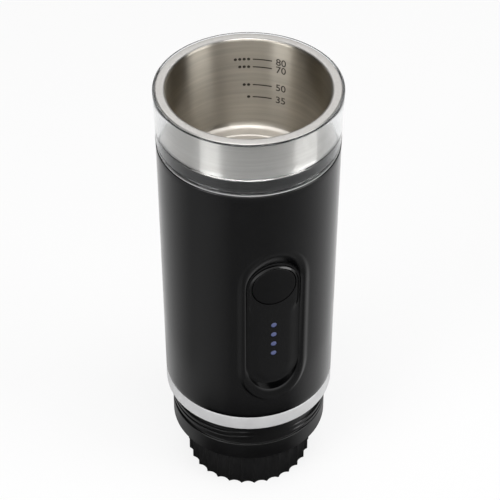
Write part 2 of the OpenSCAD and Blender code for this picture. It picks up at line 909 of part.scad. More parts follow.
module power_button() {
    hollow_d1 = panel_face_d - button_face_t;
    color(dark_grey)
        intersection() {
            translate([0, bow_back, 0])
                bar(panel_bow_r, button_z - 2 * button_r, button_z + 2 * button_r, $fn = bow_facets);
            at_front(button_z) {
                difference() {
                    peg(button_r, tab_d0, shell_top_r);
                    peg(button_r - button_wall, tab_d0 - cut, hollow_d1);
                }
                difference() {
                    block(2 * tab_half, tab_h, tab_d0, tab_d1);
                    peg(button_r - button_wall, tab_d0 - cut, tab_d1 + cut);
                }
                peg(stem_r + button_wall, switch_d + button_travel + fit_gap, hollow_d1 + button_face_t / 2);
            }
        }
}

module switch_stem() {
    color(white)
        at_front(button_z)
            peg(stem_r, switch_d - fit_gap, switch_d + button_travel + fit_gap);
}

module tact_switch() {
    color(dark_grey)
        at_front(button_z)
            difference() {
                block(switch_w, switch_w, board_d, switch_d);
                peg(stem_r + fit_gap, switch_d - stem_in - fit_gap, switch_d + cut);
            }
}

module light_pipe(i) {
    color(light_blue)
        at_front(light_zs[i])
            peg(light_r, board_d + chip_t + fit_gap, panel_face_d);
}

module light_pipe_1() {
    light_pipe(0);
}

module light_pipe_2() {
    light_pipe(1);
}

module light_pipe_3() {
    light_pipe(2);
}

module light_pipe_4() {
    light_pipe(3);
}

module status_lights() {
    color(white)
        for (z = light_zs)
            at_front(z)
                block(chip_w, chip_w, board_d, board_d + chip_t);
}

// A board that stands in the slots of the two cradles
module board() {
    color(board_green)
        translate([-board_w / 2, -board_d, board_z0])
            cube([board_w, board_t, board_z1 - board_z0]);
}

module control_board() {
    board();
}

module power_board() {
    rotate(180)
        board();
}

// Charging port

module usb_socket() {
    color(steel)
        at_back(port_z)
            translate([0, 0, board_d])
                difference() {
                    linear_extrude(height = port_d1 - board_d)
                        port_outline(port_w, port_h);
                    translate([0, 0, port_wall])
                        linear_extrude(height = port_d1 - board_d)
                            difference() {
                                port_outline(port_w - 2 * port_wall, port_h - 2 * port_wall);
                                square([tongue_w, tongue_t], center = true);
                            }
                }
}

module usb_cover() {
    color(black)
        difference() {
            union() {
                intersection() {
                    at_back(port_z)
                        translate([0, 0, board_d])
                            linear_extrude(height = port_r)
                                cover_outline(0);
                    ring(cover_out_r, cover_in_r, port_z - cover_h, port_z + cover_h);
                }
                intersection() {
                    at_back(port_z)
                        translate([0, 0, cover_in_r - plug_d])
                            linear_extrude(height = plug_d + cover_t / 2)
                                port_outline(port_w - 2 * port_gap, port_h - port_gap);
                    ring(cover_out_r, core_r, port_z - cover_h, port_z + cover_h);
                }
                at_hinge()
                    bar(barrel_r, -cover_h / 2, cover_h / 2);
            }
            at_hinge()
                bar(pin_r + snug_gap, -cover_h / 2 - cut, cover_h / 2 + cut);
        }
}

module cover_pin() {
    color(steel)
        at_hinge()
            bar(pin_r, -cover_h / 2 - pin_hold, cover_h / 2 + pin_hold);
}

// Cells and cradles

module cell(side) {
    color(cell_blue)
        translate([side * cell_ring_r, 0, 0])
            bar(cell_r, cell_z0, cell_z1);
}

module cell_left() {
    cell(-1);
}

module cell_right() {
    cell(1);
}

module cell_contacts() {
    color(silver)
        for (side = [-1, 1], z = [cell_z0 - contact_t, cell_z1])
            translate([side * cell_ring_r, 0, 0])
                bar(contact_r, z, z + contact_t);
}

// Disc with pockets for the cells, slots for the boards and holes for the tie screws
module cradle(z0, z1, pocket_z0, pocket_z1, hole_r) {
    slot_w = board_w + 2 * fit_gap;
    color(dark_grey)
        difference() {
            ring(cradle_r, hole_r, z0, z1);
            for (side = [-1, 1])
                translate([side * cell_ring_r, 0, 0])
                    bar(cell_r + fit_gap, pocket_z0, pocket_z1);
            for (turn = [0, 180])
                rotate(turn)
                    translate([-slot_w / 2, -board_d - fit_gap, board_z0 - fit_gap])
                        cube([slot_w, board_t + 2 * fit_gap, board_z1 - board_z0 + 2 * fit_gap]);
            at_ties()
                bar(tie_hole_r, z0 - cut, z1 + cut);
        }
}

module lower_cradle() {
    cradle(sleeve_z1, lower_z1, lower_z1 - pocket_d, lower_z1 + cut, pipe_r + fit_gap);
}

module upper_cradle() {
    reach_d = tab_d0 - button_travel - fit_gap;
    difference() {
        cradle(upper_z0, upper_z1, upper_z0 - cut, upper_z0 + pocket_d, hose_r + fit_gap);
        at_front(button_z)
            peg(button_hole_r, reach_d, shell_top_r);
        at_front(button_z)
            block(2 * (tab_half + fit_gap), tab_h + 2 * fit_gap, reach_d, shell_top_r);
        at_front(button_z)
            block(switch_w + 2 * fit_gap, switch_w + 2 * fit_gap, board_d, shell_top_r);
    }
}

// Pump

module pump_head() {
    color(white)
        difference() {
            bar(pump_head_r, lower_z1, tube_z0 + tube_socket_d);
            bar(tube_out_r + snug_gap, tube_z0, tube_z0 + tube_socket_d + cut);
            bar(plunger_bore_r, valve_z1 - cut, tube_z0 + cut);
            bar(tube_r, valve_z0, valve_z1);
            bar(pipe_r + snug_gap, lower_z1 - cut, valve_z0 + cut);
        }
}

module outlet_valve() {
    color(seal_grey)
        bar(tube_r - fit_gap, valve_z1 - valve_t - snug_gap, valve_z1 - snug_gap);
}

module guide_tube() {
    color(steel)
        ring(tube_out_r, tube_r, tube_z0, tube_z1);
}

module pump_coil() {
    color(copper)
        ring(yoke_r - yoke_wall - snug_gap, tube_out_r + snug_gap, coil_z0, coil_z1);
}

module pump_yoke() {
    color(dark_grey)
        rotate_extrude()
            polygon([
                [tube_out_r + snug_gap, coil_z0 - yoke_wall],
                [yoke_r, coil_z0 - yoke_wall],
                [yoke_r, coil_z1],
                [yoke_r - yoke_wall, coil_z1],
                [yoke_r - yoke_wall, coil_z0],
                [tube_out_r + snug_gap, coil_z0]
            ]);
}

module yoke_plate() {
    color(dark_grey)
        ring(yoke_r, tube_out_r + snug_gap, coil_z1, coil_z1 + yoke_wall);
}

module pump_plunger() {
    color(steel)
        ring(plunger_r, plunger_bore_r, plunger_z0, plunger_z1);
}

module return_spring() {
    color(silver)
        spring(spring_r, return_turns, tube_z0 + snug_gap, plunger_z0 - snug_gap);
}

module buffer_spring() {
    color(silver)
        spring(spring_r, buffer_turns, plunger_z1 + snug_gap, tube_z1 - snug_gap);
}

module pump_inlet() {
    color(white)
        rotate_extrude()
            polygon([
                [barb_bore_r, tube_z1],
                [tube_out_r + snug_gap, tube_z1],
                [tube_out_r + snug_gap, tube_z1 - tube_socket_d],
                [tube_out_r + tube_wall, tube_z1 - tube_socket_d],
                [tube_out_r + tube_wall, tube_z1 + inlet_h],
                [barb_r, tube_z1 + inlet_h],
                [barb_r, inlet_barb_z1],
                [barb_bore_r, inlet_barb_z1]
            ]);
}

module inlet_hose() {
    color(white)
        ring(hose_r, barb_r + snug_gap, tube_z1 + inlet_h, deck_z0 - nut_h);
}

module pressure_pipe() {
    color(steel)
        ring(pipe_r, pipe_bore_r, pipe_z0, valve_z0);
}

module pipe_seal() {
    color(seal_grey)
        rotate_extrude()
            translate([pipe_r + pipe_seal_r + snug_gap, socket_z1 - pipe_seal_r - snug_gap])
                circle(pipe_seal_r);
}

// Brew head and collar

module thread_collar() {
    thread_z = grip_h + skirt_h + cup_ridge_w / 2;
    start = (cup_break / 2) / 360;
    color(black)
        difference() {
            union() {
                rotate(-90)
                    rotate_extrude()
                        polygon([
                            [collar_bore_r, grip_h],
                            [collar_core_r, grip_h],
                            [collar_core_r, web_z0],
                            [collar_in_r, web_z0],
                            [collar_in_r, grip_h],
                            [collar_r, grip_h],
                            [collar_r, grip_h + skirt_h],
                            [collar_r - cup_ridge_h, grip_h + skirt_h],
                            [collar_r - cup_ridge_h, flange_z0],
                            [flange_r, flange_z0],
                            [flange_r, flange_z1],
                            [sleeve_r, flange_z1],
                            [sleeve_r, sleeve_z1],
                            [sleeve_in_r, sleeve_z1],
                            [sleeve_in_r, flange_z1],
                            [collar_bore_r, flange_z1]
                        ]);
                for (row = [0 : cup_rows - 1])
                    translate([0, 0, thread_z + (row + start) * cup_pitch])
                        rotate(cup_break / 2 - 90)
                            ridge(collar_r - cup_ridge_h, collar_r, cup_ridge_w, cup_crest_w, cup_pitch,
                                1 - cup_break / 360);
                translate([0, 0, grip_h + brew_ridge_w + brew_pitch / 2])
                    ridge(collar_bore_r, throat_r + thread_gap, brew_ridge_w, brew_crest_w, brew_pitch,
                        brew_turns);
                difference() {
                    at_ties()
                        bar(boss_r, flange_z1 - flange_t / 2, flange_z1 + boss_h);
                    bar(collar_bore_r + snug_gap, flange_z0, flange_z1 + boss_h + cut);
                }
            }
            at_ties()
                bar(tie_r + snug_gap, flange_z1 + cut - snug_gap, flange_z1 + boss_h + cut);
        }
}

// Children at each of the small screws in a ring of radius r
module at_ring(count, r) {
    for (i = [0 : count - 1])
        rotate(i * 360 / count)
            translate([0, -r, 0])
                children();
}

module brew_head() {
    socket_r = pipe_r + snug_gap + socket_wall;
    seal_seat_r = pipe_r + 2 * (pipe_seal_r + snug_gap);
    groove_z1 = head_z0 + gasket_t - gasket_proud;
    color(dark_grey)
        difference() {
            rotate_extrude()
                polygon([
                    [0, head_z0],
                    [head_r, head_z0],
                    [head_r, flange_z1],
                    [head_flange_r, flange_z1],
                    [head_flange_r, head_z1],
                    [socket_r, head_z1],
                    [socket_r, socket_z1],
                    [0, socket_z1]
                ]);
            ring(gasket_in_r + gasket_w + snug_gap, gasket_in_r - snug_gap, head_z0 - cut, groove_z1);
            difference() {
                bar(shower_r - shower_margin, head_z0 - cut, head_z0 + chamber_d);
                at_ring(3, shower_ring_r)
                    bar(small_head_r, head_z0 - 2 * cut, head_z0 + 2 * chamber_d);
            }
            at_ring(3, shower_ring_r)
                bar(small_screw_r + snug_gap, head_z0 - cut, head_z0 + screw_l + fit_gap);
            at_ring(4, head_ring_r)
                bar(small_screw_r + fit_gap, flange_z1 - cut, head_z1 + cut);
            at_ties()
                bar(boss_r + fit_gap, flange_z1 - snug_gap, head_z1 + cut);
            bar(pipe_bore_r, head_z0, socket_z1);
            bar(pipe_r + snug_gap, head_z1, socket_z1 + cut);
            bar(seal_seat_r, socket_z1 - 2 * (pipe_seal_r + snug_gap), socket_z1 + cut);
        }
}

module head_screws() {
    color(steel)
        at_ring(4, head_ring_r) {
            bar(small_head_r, head_z1, head_z1 + small_head_h);
            bar(small_screw_r, flange_z1, head_z1 + small_head_h / 2);
        }
}

module brew_gasket() {
    color(seal_grey)
        ring(gasket_in_r + gasket_w, gasket_in_r, head_z0 - gasket_proud, head_z0 - gasket_proud + gasket_t);
}

module shower_plate() {
    hole_step = shower_ring_r / 4;
    color(steel)
        difference() {
            bar(shower_r, head_z0 - shower_t, head_z0);
            at_ring(3, shower_ring_r)
                bar(small_screw_r + fit_gap, head_z0 - shower_t - cut, head_z0 + cut);
            for (k = [1 : 3])
                at_ring(6 * k, hole_step * k)
                    bar(basket_hole_r, head_z0 - shower_t - cut, head_z0 + cut);
        }
}

module shower_screws() {
    color(steel)
        at_ring(3, shower_ring_r)
            hanging_screw(head_z0 - shower_t, shower_t + screw_l);
}

// Filter basket, brew cap and spout

module filter_basket() {
    z0 = rim_z1 - basket_h;
    color(steel)
        difference() {
            rotate_extrude()
                polygon([
                    [0, z0],
                    [basket_out_r, z0],
                    [basket_out_r, throat_z1],
                    [basket_out_r + basket_rim_w, throat_z1],
                    [basket_out_r + basket_rim_w, rim_z1],
                    [basket_r, rim_z1],
                    [basket_r, z0 + basket_wall],
                    [0, z0 + basket_wall]
                ]);
            bar(basket_hole_r, z0 - cut, z0 + basket_wall + cut);
            for (k = [1 : basket_hole_rings])
                at_ring(6 * k, basket_hole_step * k)
                    bar(basket_hole_r, z0 - cut, z0 + basket_wall + cut);
        }
}

module brew_cap() {
    flute_half = 180 / flute_count - flute_land / grip_r * 90 / PI;
    half_w = grip_r * sin(flute_half);
    sag = flute_depth - grip_r * (1 - cos(flute_half));
    flute_r = (pow(half_w, 2) + pow(sag, 2)) / (2 * sag);
    color(black)
        difference() {
            union() {
                rotate_extrude()
                    polygon([
                        [0, foot_h],
                        [grip_r - foot_w, foot_h],
                        [grip_r - foot_w, 0],
                        [grip_r, 0],
                        [grip_r, grip_h],
                        [throat_r, grip_h],
                        [throat_r, throat_z1],
                        [cap_bore_r, throat_z1],
                        [cap_bore_r, foot_h + cap_floor_t],
                        [0, foot_h + cap_floor_t]
                    ]);
                translate([0, 0, grip_h + brew_ridge_w])
                    ridge(throat_r, crest_r, brew_ridge_w, brew_crest_w, brew_pitch, brew_turns);
            }
            for (i = [0 : flute_count - 1])
                rotate((i + 0.5) * 360 / flute_count - 90)
                    translate([grip_r - flute_depth + flute_r, 0, 0])
                        bar(flute_r, -cut, grip_h - grip_edge_h);
            bar(spout_r + snug_gap, foot_h - cut, foot_h + cap_floor_t + cut);
        }
}

module cap_spout() {
    color(dark_grey)
        rotate_extrude()
            polygon([
                [spout_r - spout_wall, spout_rise],
                [spout_r, spout_rise],
                [spout_r, foot_h + cap_floor_t],
                [spout_r + spout_flange_w, foot_h + cap_floor_t],
                [spout_r + spout_flange_w, foot_h + cap_floor_t + spout_flange_t],
                [spout_r - spout_wall, foot_h + cap_floor_t + spout_flange_t]
            ]);
}

water_tank();
tank_window();
window_seal();
tank_outlet();
outlet_washer();
outlet_nut();
tank_strainer();
heater_plate();
heater_pad();
thermistor();
thermal_fuse();
upper_deck();
tie_screws();
body_shell();
trim_band();
control_panel();
power_button();
switch_stem();
tact_switch();
light_pipe_1();
light_pipe_2();
light_pipe_3();
light_pipe_4();
status_lights();
control_board();
power_board();
usb_socket();
usb_cover();
cover_pin();
cell_left();
cell_right();
cell_contacts();
upper_cradle();
lower_cradle();
pump_head();
outlet_valve();
guide_tube();
pump_coil();
pump_yoke();
yoke_plate();
pump_plunger();
return_spring();
buffer_spring();
pump_inlet();
inlet_hose();
pressure_pipe();
pipe_seal();
thread_collar();
brew_head();
head_screws();
brew_gasket();
shower_plate();
shower_screws();
filter_basket();
brew_cap();
cap_spout();
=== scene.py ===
import json
import math

import bmesh
import bpy
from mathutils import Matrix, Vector


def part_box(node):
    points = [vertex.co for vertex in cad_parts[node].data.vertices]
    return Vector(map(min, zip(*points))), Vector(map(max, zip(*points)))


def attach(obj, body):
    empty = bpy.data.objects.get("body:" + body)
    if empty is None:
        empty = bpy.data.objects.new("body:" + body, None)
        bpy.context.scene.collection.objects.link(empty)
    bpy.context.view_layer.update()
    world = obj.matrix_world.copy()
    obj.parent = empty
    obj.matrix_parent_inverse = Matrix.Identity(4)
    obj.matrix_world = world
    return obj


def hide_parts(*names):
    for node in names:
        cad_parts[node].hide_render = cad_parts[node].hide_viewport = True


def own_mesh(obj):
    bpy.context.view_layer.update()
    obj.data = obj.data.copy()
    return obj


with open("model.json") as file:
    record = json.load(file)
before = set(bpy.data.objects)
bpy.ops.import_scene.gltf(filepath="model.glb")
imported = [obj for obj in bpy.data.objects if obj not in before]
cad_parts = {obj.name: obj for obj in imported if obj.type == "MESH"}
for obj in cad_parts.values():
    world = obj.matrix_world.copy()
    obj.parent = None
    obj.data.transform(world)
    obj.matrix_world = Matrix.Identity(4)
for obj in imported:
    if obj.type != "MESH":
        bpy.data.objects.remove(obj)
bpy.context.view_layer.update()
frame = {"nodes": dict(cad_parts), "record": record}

MM = 0.001


def span(node):
    """Lowest and highest corner of a node in millimetres."""
    low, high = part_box(node)
    return [v / MM for v in low], [v / MM for v in high]


# Sizes in millimetres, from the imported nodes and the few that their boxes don't give

tank_low, tank_high = span("water_tank")
window_low, window_high = span("tank_window")
seal_low, seal_high = span("window_seal")
shell_low, shell_high = span("body_shell")
band_low, band_high = span("trim_band")
panel_low, panel_high = span("control_panel")
button_low, button_high = span("power_button")
collar_low, collar_high = span("thread_collar")
cap_high = span("brew_cap")[1]
cover_low, cover_high = span("usb_cover")
deck_low = span("upper_deck")[0]

TOP_Z = tank_high[2]
TANK_Z0 = tank_low[2]
LIP_R = tank_high[0]
TANK_R = 28.9
TANK_WALL = 0.8
COVE_R = 2.6
OUTLET_HOLE_R = 4.3
FIT = 0.3
RIM_R = window_high[0]
WINDOW_Z0 = window_low[2]
SEAL_R = seal_high[0]
SHELL_Z0 = shell_low[2]
SHELL_Z1 = seal_low[2]
SHELL_TOP_R = shell_high[0]
SHELL_LOW_R = band_high[0]
NECK_Z1 = shell_high[2]
NECK_R = 31.3
NECK_BORE_R = 30.0
CORE_R = 29.2
LEDGE_R = 28.5
LEDGE_H = 2.0
DECK_Z0 = deck_low[2]
BAND_Z0 = band_low[2]
FLANGE_T = 1.6
FLANGE_R = collar_high[0]
PANEL_Z = (panel_low[2] + panel_high[2]) / 2
PILL_R = panel_high[0]
SPINE = (panel_high[2] - panel_low[2]) / 2 - PILL_R
FACE_D = -panel_low[1]
PLATE_T = 0.8
BOW_R = 80.0
BUTTON_Z = (button_low[2] + button_high[2]) / 2
BUTTON_R = 8.1
BUTTON_GAP = 0.35
BUTTON_D0 = 26.4
LIGHTS = ["light_pipe_1", "light_pipe_2", "light_pipe_3", "light_pipe_4"]
LIGHT_R = 1.1
LIGHT_ZS = [sum(v[2] for v in span(n)) / 2 for n in LIGHTS]
PORT_Z = (cover_low[2] + cover_high[2]) / 2
COVER_W = 15.0
COVER_H = 9.0
COVER_T = 1.3
COVER_GAP = 0.4
HINGE_X = 7.5
HINGE_Y = 30.344
BARREL_R = 1.1
PORT_W = 10.0
PORT_H = 4.3
COLLAR_Z0 = collar_low[2]
COLLAR_R = 29.9
COLLAR_ROOT_R = 29.1
COLLAR_IN_R = 28.1
COLLAR_CORE_R = 25.0
COLLAR_BORE_R = 23.4
SKIRT_Z1 = 28.3
WEB_T = 2.0
SLEEVE_R = 28.9
SLEEVE_IN_R = 27.5
SLEEVE_Z1 = 54.0
CUP_PITCH = 2.35
CUP_BREAK = 24.0
CUP_RIDGE_W = 1.8
CUP_CREST_W = 1.2
GRIP_R = cap_high[0]
GRIP_H = COLLAR_Z0
GRIP_EDGE = 1.9
FLUTES = 30
FLUTE_DEPTH = 1.05
FLUTE_LAND = 0.3
FLUTE_END = 1.0
GRIP_ROUND = 0.5
FOOT_W = 3.4
FOOT_H = 5.0
CAP_FLOOR_T = 2.5
THROAT_R = 22.2
CAP_BORE_R = 19.9
SPOUT_HOLE_R = 3.05


def shell_r(z):
    """Radius of the drafted body at a height."""
    return SHELL_LOW_R + (SHELL_TOP_R - SHELL_LOW_R) * (z - SHELL_Z0) / (SHELL_Z1 - SHELL_Z0)


def bow_d(x):
    """Distance of the panel's bowed face in front of the axis."""
    return math.sqrt(BOW_R ** 2 - x ** 2) - BOW_R + FACE_D


# Mesh helpers


def soften(corners, steps=6):
    """Outline with its corners rounded, from (r, z, corner radius)."""
    points = []
    for i, (r, z, radius) in enumerate(corners):
        here = Vector((r, z))
        if not radius:
            points.append((r, z))
            continue
        back = Vector(corners[i - 1][:2]) - here
        ahead = Vector(corners[(i + 1) % len(corners)][:2]) - here
        half = back.angle(ahead) / 2
        reach = min(radius / math.tan(half), 0.49 * back.length, 0.49 * ahead.length)
        radius = reach * math.tan(half)
        back.normalize()
        ahead.normalize()
        centre = here + (back + ahead).normalized() * radius / math.sin(half)
        start = here + back * reach - centre
        end = here + ahead * reach - centre
        turn = start.angle_signed(end)
        for k in range(steps + 1):
            a = -turn * k / steps
            points.append((centre.x + start.x * math.cos(a) - start.y * math.sin(a),
                           centre.y + start.x * math.sin(a) + start.y * math.cos(a)))
    return points


def quarter(r, z, radius, start, steps):
    """Quarter of a circle about (r, z) from a start angle in degrees, as (r, z) points."""
    angles = [math.radians(start + 90 * k / steps) for k in range(steps + 1)]
    return [(r + radius * math.cos(a), z + radius * math.sin(a)) for a in angles]


def axis_ring(r, z, turns, start=0.0):
    """Ring of points about the axis."""
    angles = [start + 2 * math.pi * j / turns for j in range(turns)]
    return [(r * math.cos(a), r * math.sin(a), z) for a in angles]


def front_ring(r, d, z, turns):
    """Ring of points that faces the front, at a distance d in front of the axis."""
    angles = [2 * math.pi * j / turns for j in range(turns)]
    return [(r * math.cos(a), -d, z + r * math.sin(a)) for a in angles]


def clean(mesh):
    """Joins points that meet, drops faces without area and turns the rest outwards."""
    shape = bmesh.new()
    shape.from_mesh(mesh)
    bmesh.ops.remove_doubles(shape, verts=shape.verts, dist=0.002 * MM)
    bmesh.ops.dissolve_degenerate(shape, edges=shape.edges, dist=0.0005 * MM)
    bmesh.ops.recalc_face_normals(shape, faces=shape.faces)
    shape.to_mesh(mesh)
    shape.free()


def build(name, points, faces, sharp=35):
    """Mesh object from points in millimetres, smooth but for edges sharper than an angle."""
    mesh = bpy.data.meshes.new(name)
    mesh.from_pydata([tuple(c * MM for c in p) for p in points], [], faces)
    clean(mesh)
    obj = bpy.data.objects.new(name, mesh)
    bpy.context.scene.collection.objects.link(obj)
    smooth(obj, sharp)
    return obj


def smooth(obj, sharp=35):
    """Smooth shading but for edges sharper than an angle."""
    obj.data.shade_smooth()
    obj.data.set_sharp_from_angle(angle=math.radians(sharp))


def grid_faces(rows, columns, wrap_rows=True, wrap_columns=True, start=0):
    """Quads over a grid of points that runs row by row."""
    faces = []
    for i in range(rows if wrap_rows else rows - 1):
        for j in range(columns if wrap_columns else columns - 1):
            k = (i + 1) % rows
            m = (j + 1) % columns
            faces.append((start + i * columns + j, start + i * columns + m,
                          start + k * columns + m, start + k * columns + j))
    return faces


def lathe(name, outline, turns=192, sharp=35):
    """Closed outline of (r, z) turned about the axis."""
    points = [p for r, z in outline for p in axis_ring(r, z, turns)]
    return build(name, points, grid_faces(len(outline), turns), sharp)


def subtract(obj, *cutters):
    """Cuts closed shapes out of an object for good."""
    for cutter in cutters:
        step = obj.modifiers.new("cut", "BOOLEAN")
        step.object = cutter
        step.operation = "DIFFERENCE"
        step.solver = "EXACT"
    mesh = bpy.data.meshes.new_from_object(obj.evaluated_get(bpy.context.evaluated_depsgraph_get()))
    obj.modifiers.clear()
    clean(mesh)
    obj.data = mesh
    for cutter in cutters:
        bpy.data.objects.remove(cutter)
    smooth(obj)


def front_peg(name, r, z, d0, d1, turns=96):
    """Closed cylinder that points at the front."""
    rings = ((0, d0), (r, d0), (r, d1), (0, d1))
    points = [p for q, d in rings for p in front_ring(q, d, z, turns)]
    return build(name, points, grid_faces(len(rings), turns, wrap_rows=False))


def slices(name, xs, half_height, depths, z):
    """Closed loft along x, with a half height and two depths at each x."""
    points = []
    for x in xs:
        h = half_height(x)
        y0, y1 = depths(x)
        points += [(x, y0, z - h), (x, y1, z - h), (x, y1, z + h), (x, y0, z + h)]
    last = 4 * (len(xs) - 1)
    faces = grid_faces(len(xs), 4, wrap_rows=False)
    faces += [(0, 1, 2, 3), (last, last + 1, last + 2, last + 3)]
    return build(name, points, faces)


# The round-ended outline of the panel, as spokes that start on its spine

SIDE_STEPS = 39
ARC_STEPS = 48
spokes = []
for j in range(SIDE_STEPS):
    spokes.append((2 * SPINE * j / SIDE_STEPS - SPINE, 1.0, 0.0))
for j in range(ARC_STEPS):
    spokes.append((SPINE, math.cos(math.pi * j / ARC_STEPS), math.sin(math.pi * j / ARC_STEPS)))
for j in range(SIDE_STEPS):
    spokes.append((SPINE - 2 * SPINE * j / SIDE_STEPS, -1.0, 0.0))
for j in range(ARC_STEPS):
    spokes.append((-SPINE, -math.cos(math.pi * j / ARC_STEPS), -math.sin(math.pi * j / ARC_STEPS)))


def spoke_point(spoke, s):
    """Place across and along the panel at distance s from its spine."""
    z, nx, nz = spoke
    return nx * s, PANEL_Z + z + nz * s


# Body shell: a turned wall whose front holds a recess for the panel, scooped out above the button

WINDOW_STEP = 2.0
WINDOW_Z = (PANEL_Z - SIDE_STEPS * WINDOW_STEP / 2, PANEL_Z + SIDE_STEPS * WINDOW_STEP / 2)
WINDOW_A = 36.0
COLUMNS = 240
BEVEL_BEND = 0.4
ARC_BEND = 0.75
LIP_H = 0.5
LIP_W = 2.4
LIP_W_END = 0.3
LIP_ROWS = 8
BLEND_ROWS = 7
SHELL_FOOT_EDGE = 0.3
SHELL_TOP_EDGE = 0.35
FOOT_ROWS = (2, 4)
TOP_ROWS = (20, 14, 8, 3)

# each at the panel's sides, and how much more at its upper and lower end
WALL_FOOT = (PILL_R + 0.3, 0.4, 2.6)
WALL_BRIM = (PILL_R + 2.0, 6.3, 5.4)
CHANNEL_D = (0.55, 0.25, 0.65)
SEAT_D = (PLATE_T + 0.05, 0.0, 0.0)

# distance from the spine and depth behind the bowed face, from the middle of the seat to the wall
SEAT_ROWS = [(s, SEAT_D) for s in (0, 3, 6, PILL_R - 0.1)]
SEAT_ROWS += [(s, CHANNEL_D) for s in (PILL_R - 0.05, PILL_R + 0.1)]

# shares of the way from the wall's brim to its foot, closest together at the foot
WALL_ROWS = [math.cos(math.radians(6 * k)) for k in range(15)] + [0.0]


def upward(spoke):
    """Share of a spoke's direction that counts as the panel's upper end."""
    return max(spoke[2], 0.0) ** 2


def downward(spoke):
    """Share of a spoke's direction that counts as the panel's lower end."""
    return max(-spoke[2], 0.0) ** 2


def graded(spoke, side, above, below):
    """A size at a spoke, from its value at the sides and what the two ends add."""
    return side + above * upward(spoke) + below * downward(spoke)


def wall_span(spoke):
    """Foot and upper end of the recess's wall along a spoke."""
    return graded(spoke, *WALL_FOOT), graded(spoke, *WALL_BRIM)


def lip_w(spoke):
    """Width of the lip beyond the recess's wall."""
    return LIP_W_END + (LIP_W - LIP_W_END) * spoke[1] ** 2


def front_d(x, z, spoke, t):
    """Distance of the shell in front of the axis, at a share t of the lip's width from the recess."""
    lip = LIP_H * spoke[1] ** 2 * (1 + math.cos(math.pi * t)) / 2
    return math.sqrt((shell_r(z) + lip) ** 2 - x ** 2)


def recess_d(x, z, spoke, u):
    """Distance of the recess's wall in front of the axis, at a share u of the way in from its brim."""
    surface = front_d(x, z, spoke, 0)
    floor = bow_d(x) - graded(spoke, *CHANNEL_D)
    bevel = (math.hypot(u, BEVEL_BEND) - BEVEL_BEND) / (math.hypot(1, BEVEL_BEND) - BEVEL_BEND)
    # the lower end rounds over and then drops straight to the channel
    arc = 1 - math.sqrt(1 - (ARC_BEND * u) ** 2) if u < 1 else 1
    return surface - (surface - floor) * (bevel + (arc - bevel) * math.sqrt(downward(spoke)))


def shell_rows():
    """Outline of the shell as (r, z), from the foot of its bore up the outside and down the neck."""
    rows = [(CORE_R, SHELL_Z0)]
    rows += quarter(SHELL_LOW_R - SHELL_FOOT_EDGE, SHELL_Z0 + SHELL_FOOT_EDGE, SHELL_FOOT_EDGE, -90, 3)
    heights = [SHELL_Z0 + rise for rise in FOOT_ROWS]
    heights += [WINDOW_Z[0] + WINDOW_STEP * j for j in range(SIDE_STEPS + 1)]
    heights += [SHELL_Z1 - drop for drop in TOP_ROWS]
    rows += [(shell_r(z), z) for z in heights]
    rows += quarter(SHELL_TOP_R - SHELL_TOP_EDGE, SHELL_Z1 - SHELL_TOP_EDGE, SHELL_TOP_EDGE, 0, 5)
    rows += soften([(NECK_R, SHELL_Z1, 0.2), (NECK_R, NECK_Z1, 0.3), (NECK_BORE_R, NECK_Z1, 0.3),
                    (NECK_BORE_R, DECK_Z0, 0.2), (LEDGE_R, DECK_Z0, 0.2), (LEDGE_R, DECK_Z0 - LEDGE_H, 0.2),
                    (CORE_R, DECK_Z0 - LEDGE_H, 0.2)], 4)[0:-1]
    return rows


def window_rim():
    """Rim of the opening that the front leaves for the recess as (x, z), in the order of the spokes."""
    rim = []
    for j in range(SIDE_STEPS):
        z = WINDOW_Z[0] + WINDOW_STEP * j
        rim.append((shell_r(z) * math.sin(math.radians(WINDOW_A)), z))
    for j in range(ARC_STEPS):
        a = math.radians(WINDOW_A * (1 - 2 * j / ARC_STEPS))
        rim.append((shell_r(WINDOW_Z[1]) * math.sin(a), WINDOW_Z[1]))
    for j in range(SIDE_STEPS):
        z = WINDOW_Z[1] - WINDOW_STEP * j
        rim.append((-shell_r(z) * math.sin(math.radians(WINDOW_A)), z))
    for j in range(ARC_STEPS):
        a = math.radians(WINDOW_A * (2 * j / ARC_STEPS - 1))
        rim.append((shell_r(WINDOW_Z[0]) * math.sin(a), WINDOW_Z[0]))
    return rim


def recess_rows():
    """Rings of points from the middle of the panel's seat over the wall and lip to the window's rim."""
    rows = []
    for s, depth in SEAT_ROWS:
        row = []
        for spoke in spokes:
            x, z = spoke_point(spoke, s)
            row.append((x, graded(spoke, *depth) - bow_d(x), z))
        rows.append(row)
    for u in WALL_ROWS:
        row = []
        for spoke in spokes:
            foot, brim = wall_span(spoke)
            x, z = spoke_point(spoke, brim - u * (brim - foot))
            row.append((x, -recess_d(x, z, spoke, u), z))
        rows.append(row)
    for k in range(1, LIP_ROWS + 1):
        row = []
        for spoke in spokes:
            x, z = spoke_point(spoke, wall_span(spoke)[1] + lip_w(spoke) * k / LIP_ROWS)
            row.append((x, -front_d(x, z, spoke, k / LIP_ROWS), z))
        rows.append(row)
    rim = window_rim()
    for k in range(1, BLEND_ROWS + 1):
        t = k / BLEND_ROWS
        row = []
        for spoke, end in zip(spokes, rim):
            x0, z0 = spoke_point(spoke, wall_span(spoke)[1] + lip_w(spoke))
            x = x0 + (end[0] - x0) * t
            z = z0 + (end[1] - z0) * t
            row.append((x, -math.sqrt(shell_r(z) ** 2 - x ** 2), z))
        rows.append(row)
    return rows


POCKET_GAP = 0.1
POCKET_OUT = 40.0
MOUTH_D = (24.0, 38.0)
LEAST_H = 0.02


